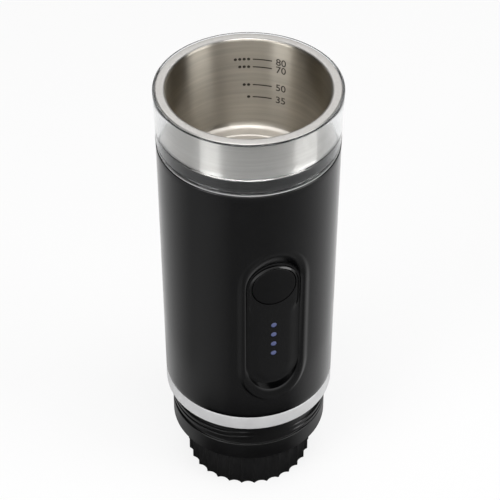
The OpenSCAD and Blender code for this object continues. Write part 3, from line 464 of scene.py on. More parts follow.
def port_cutters():
    """Shapes that cut the cover's pocket, the charging port's mouth and the hinge's room."""
    pocket_r = shell_r(PORT_Z) - COVER_T - POCKET_GAP
    end_r = COVER_H / 2 + COVER_GAP
    round_x = COVER_W / 2 - COVER_H / 2
    room = BARREL_R + COVER_GAP

    def pocket_h(x):
        return end_r if x <= round_x else math.sqrt(max(end_r ** 2 - (x - round_x) ** 2, LEAST_H ** 2))

    def pocket_d(x):
        return math.sqrt(pocket_r ** 2 - x ** 2), POCKET_OUT

    def mouth_h(x):
        past = max(abs(x) - PORT_W / 2 + PORT_H / 2, 0)
        return math.sqrt(max((PORT_H / 2) ** 2 - past ** 2, LEAST_H ** 2))

    bend = [math.sin(math.radians(7.5 * k)) for k in range(13)]
    pocket_xs = [-HINGE_X + 1.5 * k for k in range(7)] + [round_x + end_r * b for b in bend]
    mouth_xs = [-PORT_W / 2 + PORT_H / 2 * (1 - b) for b in reversed(bend)]
    mouth_xs += [PORT_W / 2 - PORT_H / 2 * (1 - b) for b in bend]
    return [
        slices("pocket_cut", pocket_xs, pocket_h, pocket_d, PORT_Z),
        slices("mouth_cut", mouth_xs, mouth_h, lambda x: MOUTH_D, PORT_Z),
        slices("hinge_cut", [-HINGE_X - room, -HINGE_X + 0.05], lambda x: end_r,
               lambda x: (HINGE_Y - room, HINGE_Y + room + BARREL_R), PORT_Z),
    ]


def front_cutters(d0, d1):
    """Pegs that cut the openings of the button and the lights."""
    cutters = [front_peg("button_cut", BUTTON_R + BUTTON_GAP, BUTTON_Z, d0, d1)]
    return cutters + [front_peg("light_cut", LIGHT_R + 0.1, z, d0, d1, 32) for z in LIGHT_ZS]


def make_shell():
    """Turned wall whose grid leaves out a window in front, filled with the recess's rings."""
    rows = shell_rows()
    points = [p for r, z in rows for p in axis_ring(r, z, COLUMNS, -math.pi / 2)]
    first = rows.index((shell_r(WINDOW_Z[0]), WINDOW_Z[0]))
    side = round(WINDOW_A * COLUMNS / 360)
    faces = []
    for k, face in enumerate(grid_faces(len(rows), COLUMNS)):
        i, j = divmod(k, COLUMNS)
        if first <= i < first + SIDE_STEPS and (j < side or j >= COLUMNS - side):
            continue
        faces.append(face)
    start = len(points)
    recess = recess_rows()
    points += [p for row in recess for p in row]
    faces += grid_faces(len(recess), len(spokes), wrap_rows=False, start=start)
    shell = build("body_shell_skin", points, faces)
    pegs = front_cutters(BUTTON_D0 - 2, FACE_D + 0.5)
    subtract(shell, pegs[0], *port_cutters(), *pegs[1:])
    return shell


# Control panel plate, with a pillowed edge and openings for the button and the lights

PILLOW_W = 4.0
PILLOW_W_TOP = 0.9
PILLOW_D = 0.5
PILLOW_END = BUTTON_Z - BUTTON_R - PANEL_Z
PILLOW_BLEND = 7.0
PILLOW_RINGS = 12
EDGE_INSET_TOP = 0.5
FLAT_BELOW = 0.8


def make_panel():
    """Round-ended plate whose face rolls off towards its edge."""
    rings = [(share, 0) for share in (0, 0.3, 0.6, 0.85)]
    rings += [(1, k / PILLOW_RINGS) for k in range(PILLOW_RINGS + 1)]
    points = []
    for share, t in rings:
        for spoke in spokes:
            narrow = min(max((spoke[0] - PILLOW_END) / PILLOW_BLEND + 1, 0.0), 1.0)
            width = PILLOW_W + (PILLOW_W_TOP - PILLOW_W) * narrow * narrow * (3 - 2 * narrow)
            edge = PILL_R - EDGE_INSET_TOP * upward(spoke)
            x, z = spoke_point(spoke, share * (edge - width) + width * t)
            drop = PILLOW_D * (1 - FLAT_BELOW * downward(spoke)) * t * t * (3 - 2 * t)
            points.append((x, drop - bow_d(x), z))
    back = (PILL_R - EDGE_INSET_TOP, 6, 0)
    for s in back:
        for spoke in spokes:
            x, z = spoke_point(spoke, s)
            points.append((x, PLATE_T - bow_d(x), z))
    panel = build("panel_plate", points, grid_faces(len(rings) + len(back), len(spokes), wrap_rows=False))
    subtract(panel, *front_cutters(FACE_D - 4, FACE_D + 1))
    return panel


BUTTON_EDGE = 0.15
BUTTON_WALL = 1.2
BUTTON_FACE_T = 2.2


def make_button():
    """Cup-shaped button whose face follows the bow of the plate."""
    rings = [(0, 0), (2, 0), (4, 0), (6, 0), (7, 0)]
    rings += quarter(BUTTON_R - BUTTON_EDGE, BUTTON_EDGE, BUTTON_EDGE, -90, 4)
    turns = 120
    points = []
    for q, drop in rings:
        for x, y, z in front_ring(q, 0, BUTTON_Z, turns):
            points.append((x, drop - bow_d(x), z))
    inner_r = BUTTON_R - BUTTON_WALL
    inner_d = FACE_D - BUTTON_FACE_T
    back = ((BUTTON_R, BUTTON_D0), (inner_r, BUTTON_D0), (inner_r, inner_d), (0, inner_d))
    points += [p for q, d in back for p in front_ring(q, d, BUTTON_Z, turns)]
    return build("button_cap", points, grid_faces(len(rings) + len(back), turns, wrap_rows=False))


# radius and drop from the middle of a light's face to its edge
DOME = ((0, 0), (0.45, 0.01), (0.8, 0.04), (0.98, 0.09), (LIGHT_R, 0.2))


def make_light(i):
    """Light pipe with a gently domed face, flush with the plate."""
    low, high = span(LIGHTS[i])
    d0, d1 = -high[1], -low[1]
    turns = 40
    rings = [(q, d1 - drop) for q, drop in DOME] + [(LIGHT_R, d0), (0, d0)]
    points = [p for q, d in rings for p in front_ring(q, d, LIGHT_ZS[i], turns)]
    return build("light_dot_%d" % (i + 1), points, grid_faces(len(rings), turns, wrap_rows=False))


# Tank, window, seal and band

PAN_R = 22.8
PAN_EDGE_R = 23.4
PAN_D = 0.25
BEAD_H = 1.5


def make_tank():
    """Cup with a rolled lip, a cove and a shallow pan round the outlet."""
    out_r = TANK_R + TANK_WALL
    floor_z = TANK_Z0 + TANK_WALL
    return lathe("tank_can", soften([
        (OUTLET_HOLE_R, TANK_Z0, 0.1), (out_r, TANK_Z0, COVE_R + TANK_WALL), (out_r, TOP_Z - TANK_WALL, 0.4),
        (LIP_R, TOP_Z - TANK_WALL, 0.25), (LIP_R, TOP_Z, 0.35), (TANK_R, TOP_Z, 1.1),
        (TANK_R, floor_z, COVE_R), (PAN_EDGE_R, floor_z, 0.5), (PAN_R, floor_z - PAN_D, 0.5),
        (OUTLET_HOLE_R, floor_z - PAN_D, 0.1)], 10), 256)


def make_window():
    """Clear ring with a fine bead above its foot."""
    seat_r = NECK_R + FIT
    bead_z = WINDOW_Z0 + BEAD_H
    return lathe("window_ring", soften([
        (seat_r, WINDOW_Z0, 0.15), (SHELL_TOP_R - 0.1, WINDOW_Z0, 0.3),
        (SHELL_TOP_R - 0.1, bead_z - 0.25, 0.1), (SHELL_TOP_R + 0.1, bead_z, 0.12),
        (SHELL_TOP_R - 0.05, bead_z + 0.25, 0.1), (RIM_R, TOP_Z - TANK_WALL - 0.3, 0.5),
        (RIM_R, TOP_Z, 0.28), (LIP_R + FIT, TOP_Z, 0.12), (LIP_R + FIT, TOP_Z - TANK_WALL, 0.1),
        (NECK_BORE_R, TOP_Z - TANK_WALL, 0.15), (NECK_BORE_R, NECK_Z1 + FIT, 0.2),
        (seat_r, NECK_Z1 + FIT, 0.3)], 6), 256)


def make_seal():
    """Flat ring between the shell and the window."""
    inner = NECK_R + 0.05
    return lathe("seal_ring", soften([
        (inner, SHELL_Z1, 0.1), (SEAL_R, SHELL_Z1, 0.2), (SEAL_R, WINDOW_Z0, 0.2),
        (inner, WINDOW_Z0, 0.1)], 4))


def make_band():
    """Silver ring between the shell and the collar."""
    inner = FLANGE_R + FIT
    return lathe("band_ring", soften([
        (inner, BAND_Z0, 0.1), (SHELL_LOW_R, BAND_Z0, 0.45), (SHELL_LOW_R, SHELL_Z0, 0.3),
        (CORE_R, SHELL_Z0, 0.1), (CORE_R, BAND_Z0 + FLANGE_T, 0.1),
        (inner, BAND_Z0 + FLANGE_T, 0.1)], 6), 256)


# Collar with its interrupted cup thread, and the fluted cap


def ridge_points(z0):
    """Rounded helical ridge that runs out at both ends of the break, as rows of section points."""
    foot, crest, sink = CUP_RIDGE_W / 2, CUP_CREST_W / 2, 0.3
    section = soften([(-sink, -foot, 0), (0, -foot, 0.12), (1, -crest, 0.2),
                      (1, crest, 0.2), (0, foot, 0.12), (-sink, foot, 0)], 4)
    height = COLLAR_R - COLLAR_ROOT_R
    turn = 360 - CUP_BREAK
    rows = 168
    run_out = 14
    points = []
    for i in range(rows + 1):
        t = i / rows
        a = math.radians(CUP_BREAK / 2 - 90 + turn * t)
        z = z0 + CUP_PITCH * (CUP_BREAK / 2 + turn * t) / 360
        ease = min(1.0, min(i, rows - i) / run_out)
        ease = ease * ease * (3 - 2 * ease)
        for q, h in section:
            r = COLLAR_ROOT_R + (q * height * ease if q > 0 else q)
            points.append((r * math.cos(a), r * math.sin(a), z + h))
    return points, rows + 1, len(section)


def make_collar():
    """Collar with a sleeve inside the shell, a plain skirt and two rows of cup thread."""
    web_z0 = BAND_Z0 - WEB_T
    flange_z1 = BAND_Z0 + FLANGE_T
    outline = soften([
        (COLLAR_BORE_R, COLLAR_Z0, 0.2), (COLLAR_CORE_R, COLLAR_Z0, 0.2), (COLLAR_CORE_R, web_z0, 0.4),
        (COLLAR_IN_R, web_z0, 0.4), (COLLAR_IN_R, COLLAR_Z0, 0.2), (COLLAR_R, COLLAR_Z0, 0.5),
        (COLLAR_R, SKIRT_Z1, 0.3), (COLLAR_ROOT_R, SKIRT_Z1, 0.15), (COLLAR_ROOT_R, BAND_Z0, 0.2),
        (FLANGE_R, BAND_Z0, 0.1), (FLANGE_R, flange_z1, 0.1), (SLEEVE_R, flange_z1, 0.1),
        (SLEEVE_R, SLEEVE_Z1, 0.2), (SLEEVE_IN_R, SLEEVE_Z1, 0.2), (SLEEVE_IN_R, flange_z1, 0.2),
        (COLLAR_BORE_R, flange_z1, 0.1)], 5)
    turns = 240
    points = [p for r, z in outline for p in axis_ring(r, z, turns)]
    faces = grid_faces(len(outline), turns)
    for row in range(2):
        more, rows, columns = ridge_points(SKIRT_Z1 + CUP_RIDGE_W / 2 + row * CUP_PITCH)
        start = len(points)
        points += more
        faces += grid_faces(rows, columns, wrap_rows=False, start=start)
        faces.append(tuple(start + j for j in range(columns)))
        faces.append(tuple(start + (rows - 1) * columns + j for j in range(columns)))
    return build("collar_ring", points, faces)


# columns of points over one flute, as shares of half the pitch, and heights of rows up the grip
FLUTE_SHARES = (-1, -0.97, -0.93, -0.8, -0.6, -0.4, -0.2, 0, 0.2, 0.4, 0.6, 0.8, 0.93, 0.97)
GRIP_ROWS = (5, 10, 15)
FOOT_EDGE = 0.3
THROAT_EDGE = 0.2


def make_cap():
    """Cap with a fluted grip, a hollow foot and a throat that goes into the collar."""
    pitch = 2 * math.pi / FLUTES
    half = pitch / 2 - FLUTE_LAND / GRIP_R / 2
    half_w = GRIP_R * math.sin(half)
    sag = FLUTE_DEPTH - GRIP_R * (1 - math.cos(half))
    flute_r = (half_w ** 2 + sag ** 2) / (2 * sag)
    centre = GRIP_R - FLUTE_DEPTH + flute_r

    def flute(a):
        """How far the grip is cut back at an angle from the middle of a flute."""
        if abs(a) >= half:
            return 0.0
        return GRIP_R - (centre * math.cos(a) - math.sqrt(flute_r ** 2 - (centre * math.sin(a)) ** 2))

    columns = []
    for i in range(FLUTES):
        for share in FLUTE_SHARES:
            columns.append(((i + 0.5) * pitch - math.pi / 2 + share * pitch / 2, flute(share * pitch / 2)))
    foot_r, top_z = GRIP_R - FOOT_W, cap_high[2]
    grip = [(foot_r, FOOT_H, 0), (foot_r, FOOT_EDGE, 0), (foot_r + FOOT_EDGE, 0, 0)]
    grip += [(r, z, 1) for r, z in quarter(GRIP_R - GRIP_ROUND, GRIP_ROUND, GRIP_ROUND, -90, 3)]
    end_z = GRIP_H - GRIP_EDGE - FLUTE_END
    grip += [(GRIP_R, z, 1) for z in (*GRIP_ROWS, end_z)]
    for k in range(1, 6):
        rise = FLUTE_END * math.sin(math.radians(18 * k))
        grip.append((GRIP_R, end_z + rise, math.sqrt(1 - (k / 5) ** 2)))
    grip += [(r, z, 0) for r, z in quarter(GRIP_R - GRIP_ROUND, GRIP_H - GRIP_ROUND, GRIP_ROUND, 0, 3)]
    grip += [(THROAT_R, GRIP_H, 0), (THROAT_R, top_z - THROAT_EDGE, 0), (THROAT_R - THROAT_EDGE, top_z, 0),
             (CAP_BORE_R + THROAT_EDGE, top_z, 0), (CAP_BORE_R, top_z - THROAT_EDGE, 0),
             (CAP_BORE_R, FOOT_H + CAP_FLOOR_T, 0), (SPOUT_HOLE_R, FOOT_H + CAP_FLOOR_T, 0),
             (SPOUT_HOLE_R, FOOT_H, 0)]
    points = []
    for r, z, share in grip:
        for a, depth in columns:
            q = r - depth * share
            points.append((q * math.cos(a), q * math.sin(a), z))
    return build("cap_grip", points, grid_faces(len(grip), len(columns)), 40)


# Level marks on the far wall of the tank: lines, plain numbers, and rows of dots

MARK_R = TANK_R - 0.02
MARKS = [(168.3, "80", 4), (164.95, "70", 3), (157.0, "50", 2), (151.55, "35", 1)]
LINE_A = (20.4, 34.4)
LINE_W = 0.5
DOT_R = 0.6
DOT_GAP = 1.5
DOT_STEP = 1.6
NUMBER_A = 37.2
NUMBER_SIZE = 4.1
NUMBER_DROP = 1.42
NUMBER_STROKE = 0.04
NUMBER_CUT = 0.5


def on_wall(u, z):
    """Point on the tank's wall at arc length u clockwise from the back, seen from above."""
    a = u / MARK_R
    return MARK_R * math.sin(a), MARK_R * math.cos(a), z


def mark_sheet(name, outlines):
    """Flat printed shapes, each a grid of (u, z) rows, laid on the wall."""
    points = []
    faces = []
    for rows in outlines:
        start = len(points)
        columns = len(rows[0])
        points += [on_wall(u, z) for row in rows for u, z in row]
        faces += grid_faces(len(rows), columns, False, False, start)
    return build(name, points, faces)


def make_lines():
    """The lines, and a row of dots at the end of each."""
    u0, u1 = (math.radians(a) * TANK_R for a in LINE_A)
    outlines = []
    for z, _, dots in MARKS:
        cut = [u0 + (u1 - u0) * k / 12 for k in range(13)]
        outlines.append([[(u, z - LINE_W / 2) for u in cut], [(u, z + LINE_W / 2) for u in cut]])
        for k in range(dots):
            middle = u0 - DOT_GAP - DOT_STEP * k
            ring = [2 * math.pi * j / 20 for j in range(21)]
            outlines.append([[(middle, z) for a in ring],
                             [(middle + DOT_R * math.cos(a), z + DOT_R * math.sin(a)) for a in ring]])
    return mark_sheet("level_lines", outlines)


def make_numbers():
    """The numbers, as one mesh that follows the wall."""
    meshes = []
    for z, word, _ in MARKS:
        curve = bpy.data.curves.new("number_" + word, "FONT")
        curve.body = word
        curve.size = NUMBER_SIZE
        curve.resolution_u = 6
        curve.offset = NUMBER_STROKE
        text = bpy.data.objects.new("number_" + word, curve)
        bpy.context.scene.collection.objects.link(text)
        mesh = bpy.data.meshes.new_from_object(text.evaluated_get(bpy.context.evaluated_depsgraph_get()))
        bpy.data.objects.remove(text)
        shape = bmesh.new()
        shape.from_mesh(mesh)
        bmesh.ops.triangulate(shape, faces=shape.faces)
        long_edges = [e for e in shape.edges if e.calc_length() > NUMBER_CUT]
        bmesh.ops.subdivide_edges(shape, edges=long_edges, cuts=1)
        start = math.radians(NUMBER_A) * TANK_R
        for v in shape.verts:
            v.co = [c * MM for c in on_wall(start + v.co.x, z - NUMBER_DROP + v.co.y)]
        shape.to_mesh(mesh)
        shape.free()
        meshes.append(mesh)
    join = bmesh.new()
    for mesh in meshes:
        join.from_mesh(mesh)
    whole = bpy.data.meshes.new("level_numbers")
    join.to_mesh(whole)
    join.free()
    obj = bpy.data.objects.new("level_numbers", whole)
    bpy.context.scene.collection.objects.link(obj)
    return obj


def face_axis(obj):
    """Turns the faces of a printed sheet towards the axis."""
    shape = bmesh.new()
    shape.from_mesh(obj.data)
    away = [face for face in shape.faces if face.normal.xy.dot(face.calc_center_median().xy) > 0]
    bmesh.ops.reverse_faces(shape, faces=away)
    shape.to_mesh(obj.data)
    shape.free()


# Pump springs

WIRE_R = 0.4


def make_spring(name, node, turns):
    """Round wire wound between the ends of a node's box."""
    low, high = span(node)
    r = high[0] - WIRE_R
    steps = 40 * turns
    sides = 10
    sections = [(0, 0.0)] + [(i, WIRE_R) for i in range(steps + 1)] + [(steps, 0.0)]
    points = []
    for i, wire in sections:
        a = 2 * math.pi * turns * i / steps
        z = low[2] + WIRE_R + (high[2] - low[2] - 2 * WIRE_R) * i / steps
        for j in range(sides):
            b = -2 * math.pi * j / sides
            q = r + wire * math.cos(b)
            points.append((q * math.cos(a), q * math.sin(a), z + wire * math.sin(b)))
    return build(name, points, grid_faces(len(sections), sides, wrap_rows=False))


# Materials

SOCKETS = {"colour": "Base Color", "metal": "Metallic", "rough": "Roughness", "ior": "IOR",
           "clear": "Transmission Weight", "level": "Specular IOR Level", "coat": "Coat Weight",
           "coat_rough": "Coat Roughness", "aniso": "Anisotropic", "turn": "Anisotropic Rotation",
           "glow": "Emission Color", "glow_power": "Emission Strength"}

# where most values of a texture lie
TEXTURE_SPAN = (0.25, 0.75)


class Finish:
    """A node material that starts from one shader and gets its detail from textures."""

    def __init__(self, name, **values):
        self.material = bpy.data.materials.new(name)
        self.material.use_nodes = True
        self.tree = self.material.node_tree
        self.shader = self.tree.nodes["Principled BSDF"]
        for key, value in values.items():
            if key in ("colour", "glow"):
                value = (*value, 1)
            self.shader.inputs[SOCKETS[key]].default_value = value

    def node(self, kind, **values):
        """New node with these settings."""
        node = self.tree.nodes.new(kind)
        for key, value in values.items():
            setattr(node, key, value)
        return node

    def link(self, a, b):
        """Joins an output to an input."""
        self.tree.links.new(a, b)

    def place(self, scale):
        """Object coordinates in metres, stretched along each axis."""
        place = self.node("ShaderNodeTexCoord")
        stretch = self.node("ShaderNodeMapping")
        stretch.inputs["Scale"].default_value = scale
        self.link(place.outputs["Object"], stretch.inputs["Vector"])
        return stretch.outputs["Vector"]

    def noise(self, scale, detail=3.0, rough=0.55):
        """Noise with this many features to the metre along each axis."""
        noise = self.node("ShaderNodeTexNoise")
        noise.inputs["Scale"].default_value = 1.0
        noise.inputs["Detail"].default_value = detail
        noise.inputs["Roughness"].default_value = rough
        self.link(self.place(scale), noise.inputs["Vector"])
        return noise.outputs["Fac"]

    def spread(self, value, low, high):
        """A texture value spread over a range."""
        ramp = self.node("ShaderNodeMapRange")
        ramp.inputs["From Min"].default_value, ramp.inputs["From Max"].default_value = TEXTURE_SPAN
        ramp.inputs["To Min"].default_value = low
        ramp.inputs["To Max"].default_value = high
        self.link(value, ramp.inputs["Value"])
        return ramp.outputs["Result"]

    def tint(self, value, low, high):
        """Base colour that runs from one colour to another with a texture value."""
        mix = self.node("ShaderNodeMix", data_type="RGBA")
        # the colour sockets share their names with the number sockets
        colours = {"A": (*low, 1), "B": (*high, 1)}
        for plug in mix.inputs:
            if plug.type == "RGBA":
                plug.default_value = colours[plug.name]
        self.link(self.spread(value, 0.0, 1.0), mix.inputs["Factor"])
        for plug in mix.outputs:
            if plug.type == "RGBA":
                self.link(plug, self.shader.inputs["Base Color"])

    def roughen(self, value, low, high):
        """Roughness that follows a texture value."""
        self.link(self.spread(value, low, high), self.shader.inputs["Roughness"])

    def bump(self, value, strength, distance):
        """Bump of a height in millimetres."""
        bump = self.node("ShaderNodeBump")
        bump.inputs["Strength"].default_value = strength
        bump.inputs["Distance"].default_value = distance * MM
        self.link(value, bump.inputs["Height"])
        self.link(bump.outputs["Normal"], self.shader.inputs["Normal"])


def moulded(name, low, high, rough, level=0.5, grain=4500, depth=0.012):
    """Moulded plastic with a fine grain and faint cloudiness."""
    finish = Finish(name, colour=low, rough=rough, level=level)
    fine = finish.noise((grain, grain, grain), 2.0)
    cloud = finish.noise((90, 90, 90), 4.0)
    finish.tint(cloud, low, high)
    finish.roughen(cloud, rough - 0.04, rough + 0.04)
    finish.bump(fine, 0.35, depth)
    return finish


def brushed(name, low, high, rough, aniso, along=70, across=9000):
    """Steel brushed round the Z axis."""
    finish = Finish(name, colour=low, metal=1.0, rough=rough, aniso=aniso, turn=0.25)
    tangent = finish.node("ShaderNodeTangent", direction_type="RADIAL", axis="Z")
    finish.link(tangent.outputs["Tangent"], finish.shader.inputs["Tangent"])
    hair = finish.noise((along, along, across), 4.0, 0.65)
    wide = finish.noise((along / 3, along / 3, across / 12), 3.0, 0.6)
    finish.tint(wide, low, high)
    finish.roughen(hair, rough - 0.07, rough + 0.07)
    finish.bump(hair, 0.25, 0.006)
    return finish


def cast(name, low, high, rough, grain=2500, depth=0.01, metal=1.0):
    """Plain metal or metal paint with a fine grain."""
    finish = Finish(name, colour=low, metal=metal, rough=rough)
    fine = finish.noise((grain, grain, grain), 3.0)
    cloud = finish.noise((160, 160, 160), 3.0)
    finish.tint(cloud, low, high)
    finish.roughen(fine, rough - 0.06, rough + 0.06)
    finish.bump(fine, 0.3, depth)
    return finish


# the steel inside the tank is darker than on its outside, lip and floor: painted shade inside the tank
steel = brushed("tank_steel_inside_painted_shade_finish", (0.42, 0.39, 0.34), (0.52, 0.485, 0.42), 0.37, 1.0)
steel_outside = brushed("tank_outside_finish", (0.70, 0.68, 0.65), (0.80, 0.78, 0.75), 0.37, 1.0)
steel_lip = brushed("tank_lip_finish", (0.62, 0.60, 0.575), (0.70, 0.68, 0.655), 0.34, 0.0, 2500, 2500)
steel_floor = cast("tank_floor_finish", (0.74, 0.705, 0.66), (0.82, 0.78, 0.73), 0.55, metal=0.85)

clear = Finish("clear_plastic_finish", colour=(0.97, 0.98, 0.985), rough=0.03, ior=1.49, clear=1.0)
clear_wave = clear.noise((60, 60, 160), 2.0)
clear.roughen(clear_wave, 0.015, 0.045)
clear.bump(clear_wave, 0.05, 0.02)

DEEP_BLACK = ((0.0014, 0.0014, 0.0016), (0.0022, 0.0022, 0.0024))
COLLAR_BLACK = ((0.0034, 0.0034, 0.0036), (0.0048, 0.0048, 0.0050))
CAP_BLACK = ((0.0060, 0.0060, 0.0062), (0.0080, 0.0080, 0.0082))
COVER_BLACK = ((0.010, 0.010, 0.011), (0.014, 0.014, 0.015))
INK = ((0.030, 0.026, 0.022), (0.060, 0.052, 0.045))
shell_black = moulded("shell_black_finish", *DEEP_BLACK, 0.16, grain=6000, depth=0.003)
panel_black = moulded("panel_black_finish", *DEEP_BLACK, 0.16, grain=6000, depth=0.003)
button_black = moulded("button_black_finish", *DEEP_BLACK, 0.42, 0.25, 6000, 0.003)
collar_black = moulded("collar_black_finish", *COLLAR_BLACK, 0.35, grain=4200, depth=0.008)
cap_black = moulded("cap_black_finish", *CAP_BLACK, 0.46, grain=4200, depth=0.008)
cover_black = moulded("cover_black_finish", *COVER_BLACK, 0.6, 0.3, 3500, 0.015)
inner_plastic = moulded("inner_plastic_finish", (0.045, 0.046, 0.05), (0.06, 0.061, 0.066), 0.5)
white_plastic = moulded("white_plastic_finish", (0.74, 0.73, 0.69), (0.82, 0.81, 0.78), 0.5)
seal_grey = moulded("seal_grey_finish", (0.40, 0.40, 0.40), (0.50, 0.50, 0.50), 0.5, grain=2500, depth=0.01)
mark_ink = moulded("mark_ink_finish", *INK, 0.6, 0.3, 3000, 0.002)

status_blue = Finish("status_blue_finish", colour=(0.05, 0.06, 0.13), rough=0.4, glow=(0.2, 0.24, 0.5),
                     glow_power=0.12)
blue_cloud = status_blue.noise((900, 900, 900), 2.0)
status_blue.tint(blue_cloud, (0.045, 0.055, 0.12), (0.06, 0.07, 0.15))
status_blue.bump(blue_cloud, 0.1, 0.01)

band_silver = cast("band_silver_finish", (0.66, 0.66, 0.665), (0.74, 0.74, 0.745), 0.5, 3800, 0.02, 0.5)
plain_steel = cast("plain_steel_finish", (0.55, 0.55, 0.54), (0.66, 0.66, 0.65), 0.34)
brass = cast("brass_finish", (0.62, 0.46, 0.20), (0.72, 0.55, 0.27), 0.32)

copper = Finish("copper_coil_finish", colour=(0.60, 0.28, 0.14), metal=1.0, rough=0.35)
winding = copper.node("ShaderNodeTexWave", wave_type="BANDS", bands_direction="Z")
winding.inputs["Scale"].default_value = 900.0
winding.inputs["Distortion"].default_value = 0.6
copper.link(copper.place((1, 1, 1)), winding.inputs["Vector"])
copper.tint(winding.outputs["Fac"], (0.38, 0.15, 0.07), (0.66, 0.32, 0.17))
copper.bump(winding.outputs["Fac"], 0.8, 0.15)

board_green = Finish("board_green_finish", colour=(0.012, 0.09, 0.035), rough=0.4, coat=0.4, coat_rough=0.2)
tracks = board_green.node("ShaderNodeTexBrick")
tracks.inputs["Scale"].default_value = 260.0
tracks.inputs["Mortar Size"].default_value = 0.06
board_green.link(board_green.place((1, 1, 1)), tracks.inputs["Vector"])
board_green.tint(tracks.outputs["Fac"], (0.010, 0.085, 0.032), (0.03, 0.16, 0.06))
board_green.bump(tracks.outputs["Fac"], 0.4, 0.03)

cell_wrap = Finish("cell_wrap_finish", colour=(0.03, 0.10, 0.28), rough=0.3)
wrap = cell_wrap.noise((30, 30, 140), 3.0)
cell_wrap.tint(wrap, (0.025, 0.09, 0.26), (0.04, 0.13, 0.34))
cell_wrap.roughen(wrap, 0.24, 0.38)
cell_wrap.bump(wrap, 0.3, 0.05)

FINISHES = {
    "tank_steel": steel, "clear_plastic": clear, "shell_black": shell_black, "panel_black": panel_black,
    "button_black": button_black, "status_blue": status_blue, "band_silver": band_silver,
    "collar_black": collar_black, "cap_black": cap_black, "cover_black": cover_black, "seal_grey": seal_grey,
    "brass": brass, "copper_coil": copper, "inner_plastic": inner_plastic, "white_plastic": white_plastic,
    "board_green": board_green, "cell_wrap": cell_wrap, "plain_steel": plain_steel,
}


def paint(obj, finish):
    """Gives an object one finish all over."""
    obj.data.materials.clear()
    obj.data.materials.append(finish.material)


slots = {part["node"]: part["material_slot"] for part in frame["record"]["subparts"]}
for name, obj in frame["nodes"].items():
    paint(obj, FINISHES[slots[name]])


def put(obj, node, body):
    """A piece that stands for a node, rides on its body and has its finish."""
    paint(obj, FINISHES[slots[node]])
    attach(obj, body)
    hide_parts(node)


put(make_shell(), "body_shell", "housing")
put(make_panel(), "control_panel", "housing")
put(make_button(), "power_button", "button")
for index, light_node in enumerate(LIGHTS):
    put(make_light(index), light_node, "housing")

# the tank's wall inside has the slot's finish, a darker copy of the steel that paints shade into the tank, and the
# rest one each
OUTSIDE, LIP, PAN = 1, 2, 3
LIP_TOP = 0.5
LIP_INSET = 0.6
COVE_SHARE = 0.3
tank = make_tank()
put(tank, "water_tank", "housing")
for extra in (steel_outside, steel_lip, steel_floor):
    tank.data.materials.append(extra.material)
for face in tank.data.polygons:
    x, y, z = (c / MM for c in face.center)
    r = math.hypot(x, y)
    if z > TOP_Z - LIP_TOP and r > TANK_R + LIP_INSET:
        face.material_index = LIP
    elif r > TANK_R + TANK_WALL / 2 and z > TANK_Z0 + COVE_R:
        face.material_index = OUTSIDE
    elif z < TANK_Z0 + TANK_WALL + COVE_SHARE * COVE_R:
        face.material_index = PAN

put(make_window(), "tank_window", "housing")
put(make_seal(), "window_seal", "housing")
put(make_band(), "trim_band", "housing")
put(make_collar(), "thread_collar", "housing")
put(make_cap(), "brew_cap", "cap")

# name, node, turns of wire, and the end that stays: 0 the lower, 1 the upper
COILS = (("return_coil", "return_spring", 6, 0), ("buffer_coil", "buffer_spring", 3, 1))
for coil_name, coil_node, turns, end in COILS:
    coil = make_spring(coil_name, coil_node, turns)
    put(coil, coil_node, "housing")
    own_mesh(coil)
for marks in (make_lines(), make_numbers()):
    face_axis(marks)
    paint(marks, mark_ink)
    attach(marks, "housing")


# Floor, light and camera

VIEW_TURN = math.radians(-17.45)
FRONT = (math.sin(VIEW_TURN), -math.cos(VIEW_TURN), 0.0)
RIGHT = (-FRONT[1], FRONT[0], 0.0)
CAMERA_OUT = 0.531858
CAMERA_UP = 0.564232
CAMERA_TILT = math.radians(40.9906)
CAMERA_LENS = 136.143
CAMERA_SHIFT = 0.00273
FLOOR_HALF = 3

floor_mesh = bpy.data.meshes.new("floor")
corners = [(x * FLOOR_HALF, y * FLOOR_HALF, 0) for x, y in ((-1, -1), (1, -1), (1, 1), (-1, 1))]
floor_mesh.from_pydata(corners, [], [(0, 1, 2, 3)])
floor = bpy.data.objects.new("floor", floor_mesh)
bpy.context.scene.collection.objects.link(floor)


class Graph:
    """Short names for the number nodes of a tree."""

    def __init__(self, tree):
        self.tree = tree

    def math(self, operation, a, b):
        """Sum, product or the like of two numbers or sockets."""
        node = self.tree.nodes.new("ShaderNodeMath")
        node.operation = operation
        for plug, value in zip(node.inputs, (a, b)):
            if isinstance(value, (int, float)):
                plug.default_value = value
            else:
                self.tree.links.new(value, plug)
        return node.outputs[0]

    def along(self, place, way):
        """Length of a place along a direction."""
        node = self.tree.nodes.new("ShaderNodeVectorMath")
        node.operation = "DOT_PRODUCT"
        node.inputs[1].default_value = way
        self.tree.links.new(place, node.inputs[0])
        return node.outputs["Value"]

    def ramp(self, value, start, end, low, high):
        """Runs from low to high while a value goes from start to end."""
        node = self.tree.nodes.new("ShaderNodeMapRange")
        for name, number in (("From Min", start), ("From Max", end), ("To Min", low), ("To Max", high)):
            node.inputs[name].default_value = number
        self.tree.links.new(value, node.inputs["Value"])
        return node.outputs["Result"]

    def choose(self, share, a, b):
        """Blend from a to b by a share."""
        node = self.tree.nodes.new("ShaderNodeMix")
        self.tree.links.new(share, node.inputs["Factor"])
        for name, value in (("A", a), ("B", b)):
            if isinstance(value, (int, float)):
                node.inputs[name].default_value = value
            else:
                self.tree.links.new(value, node.inputs[name])
        return node.outputs["Result"]

    def ray(self, *names):
        """1 on rays of any of these kinds."""
        node = self.tree.nodes.new("ShaderNodeLightPath")
        total = node.outputs[names[0]]
        for name in names[1:]:
            total = self.math("MAXIMUM", total, node.outputs[name])
        return total
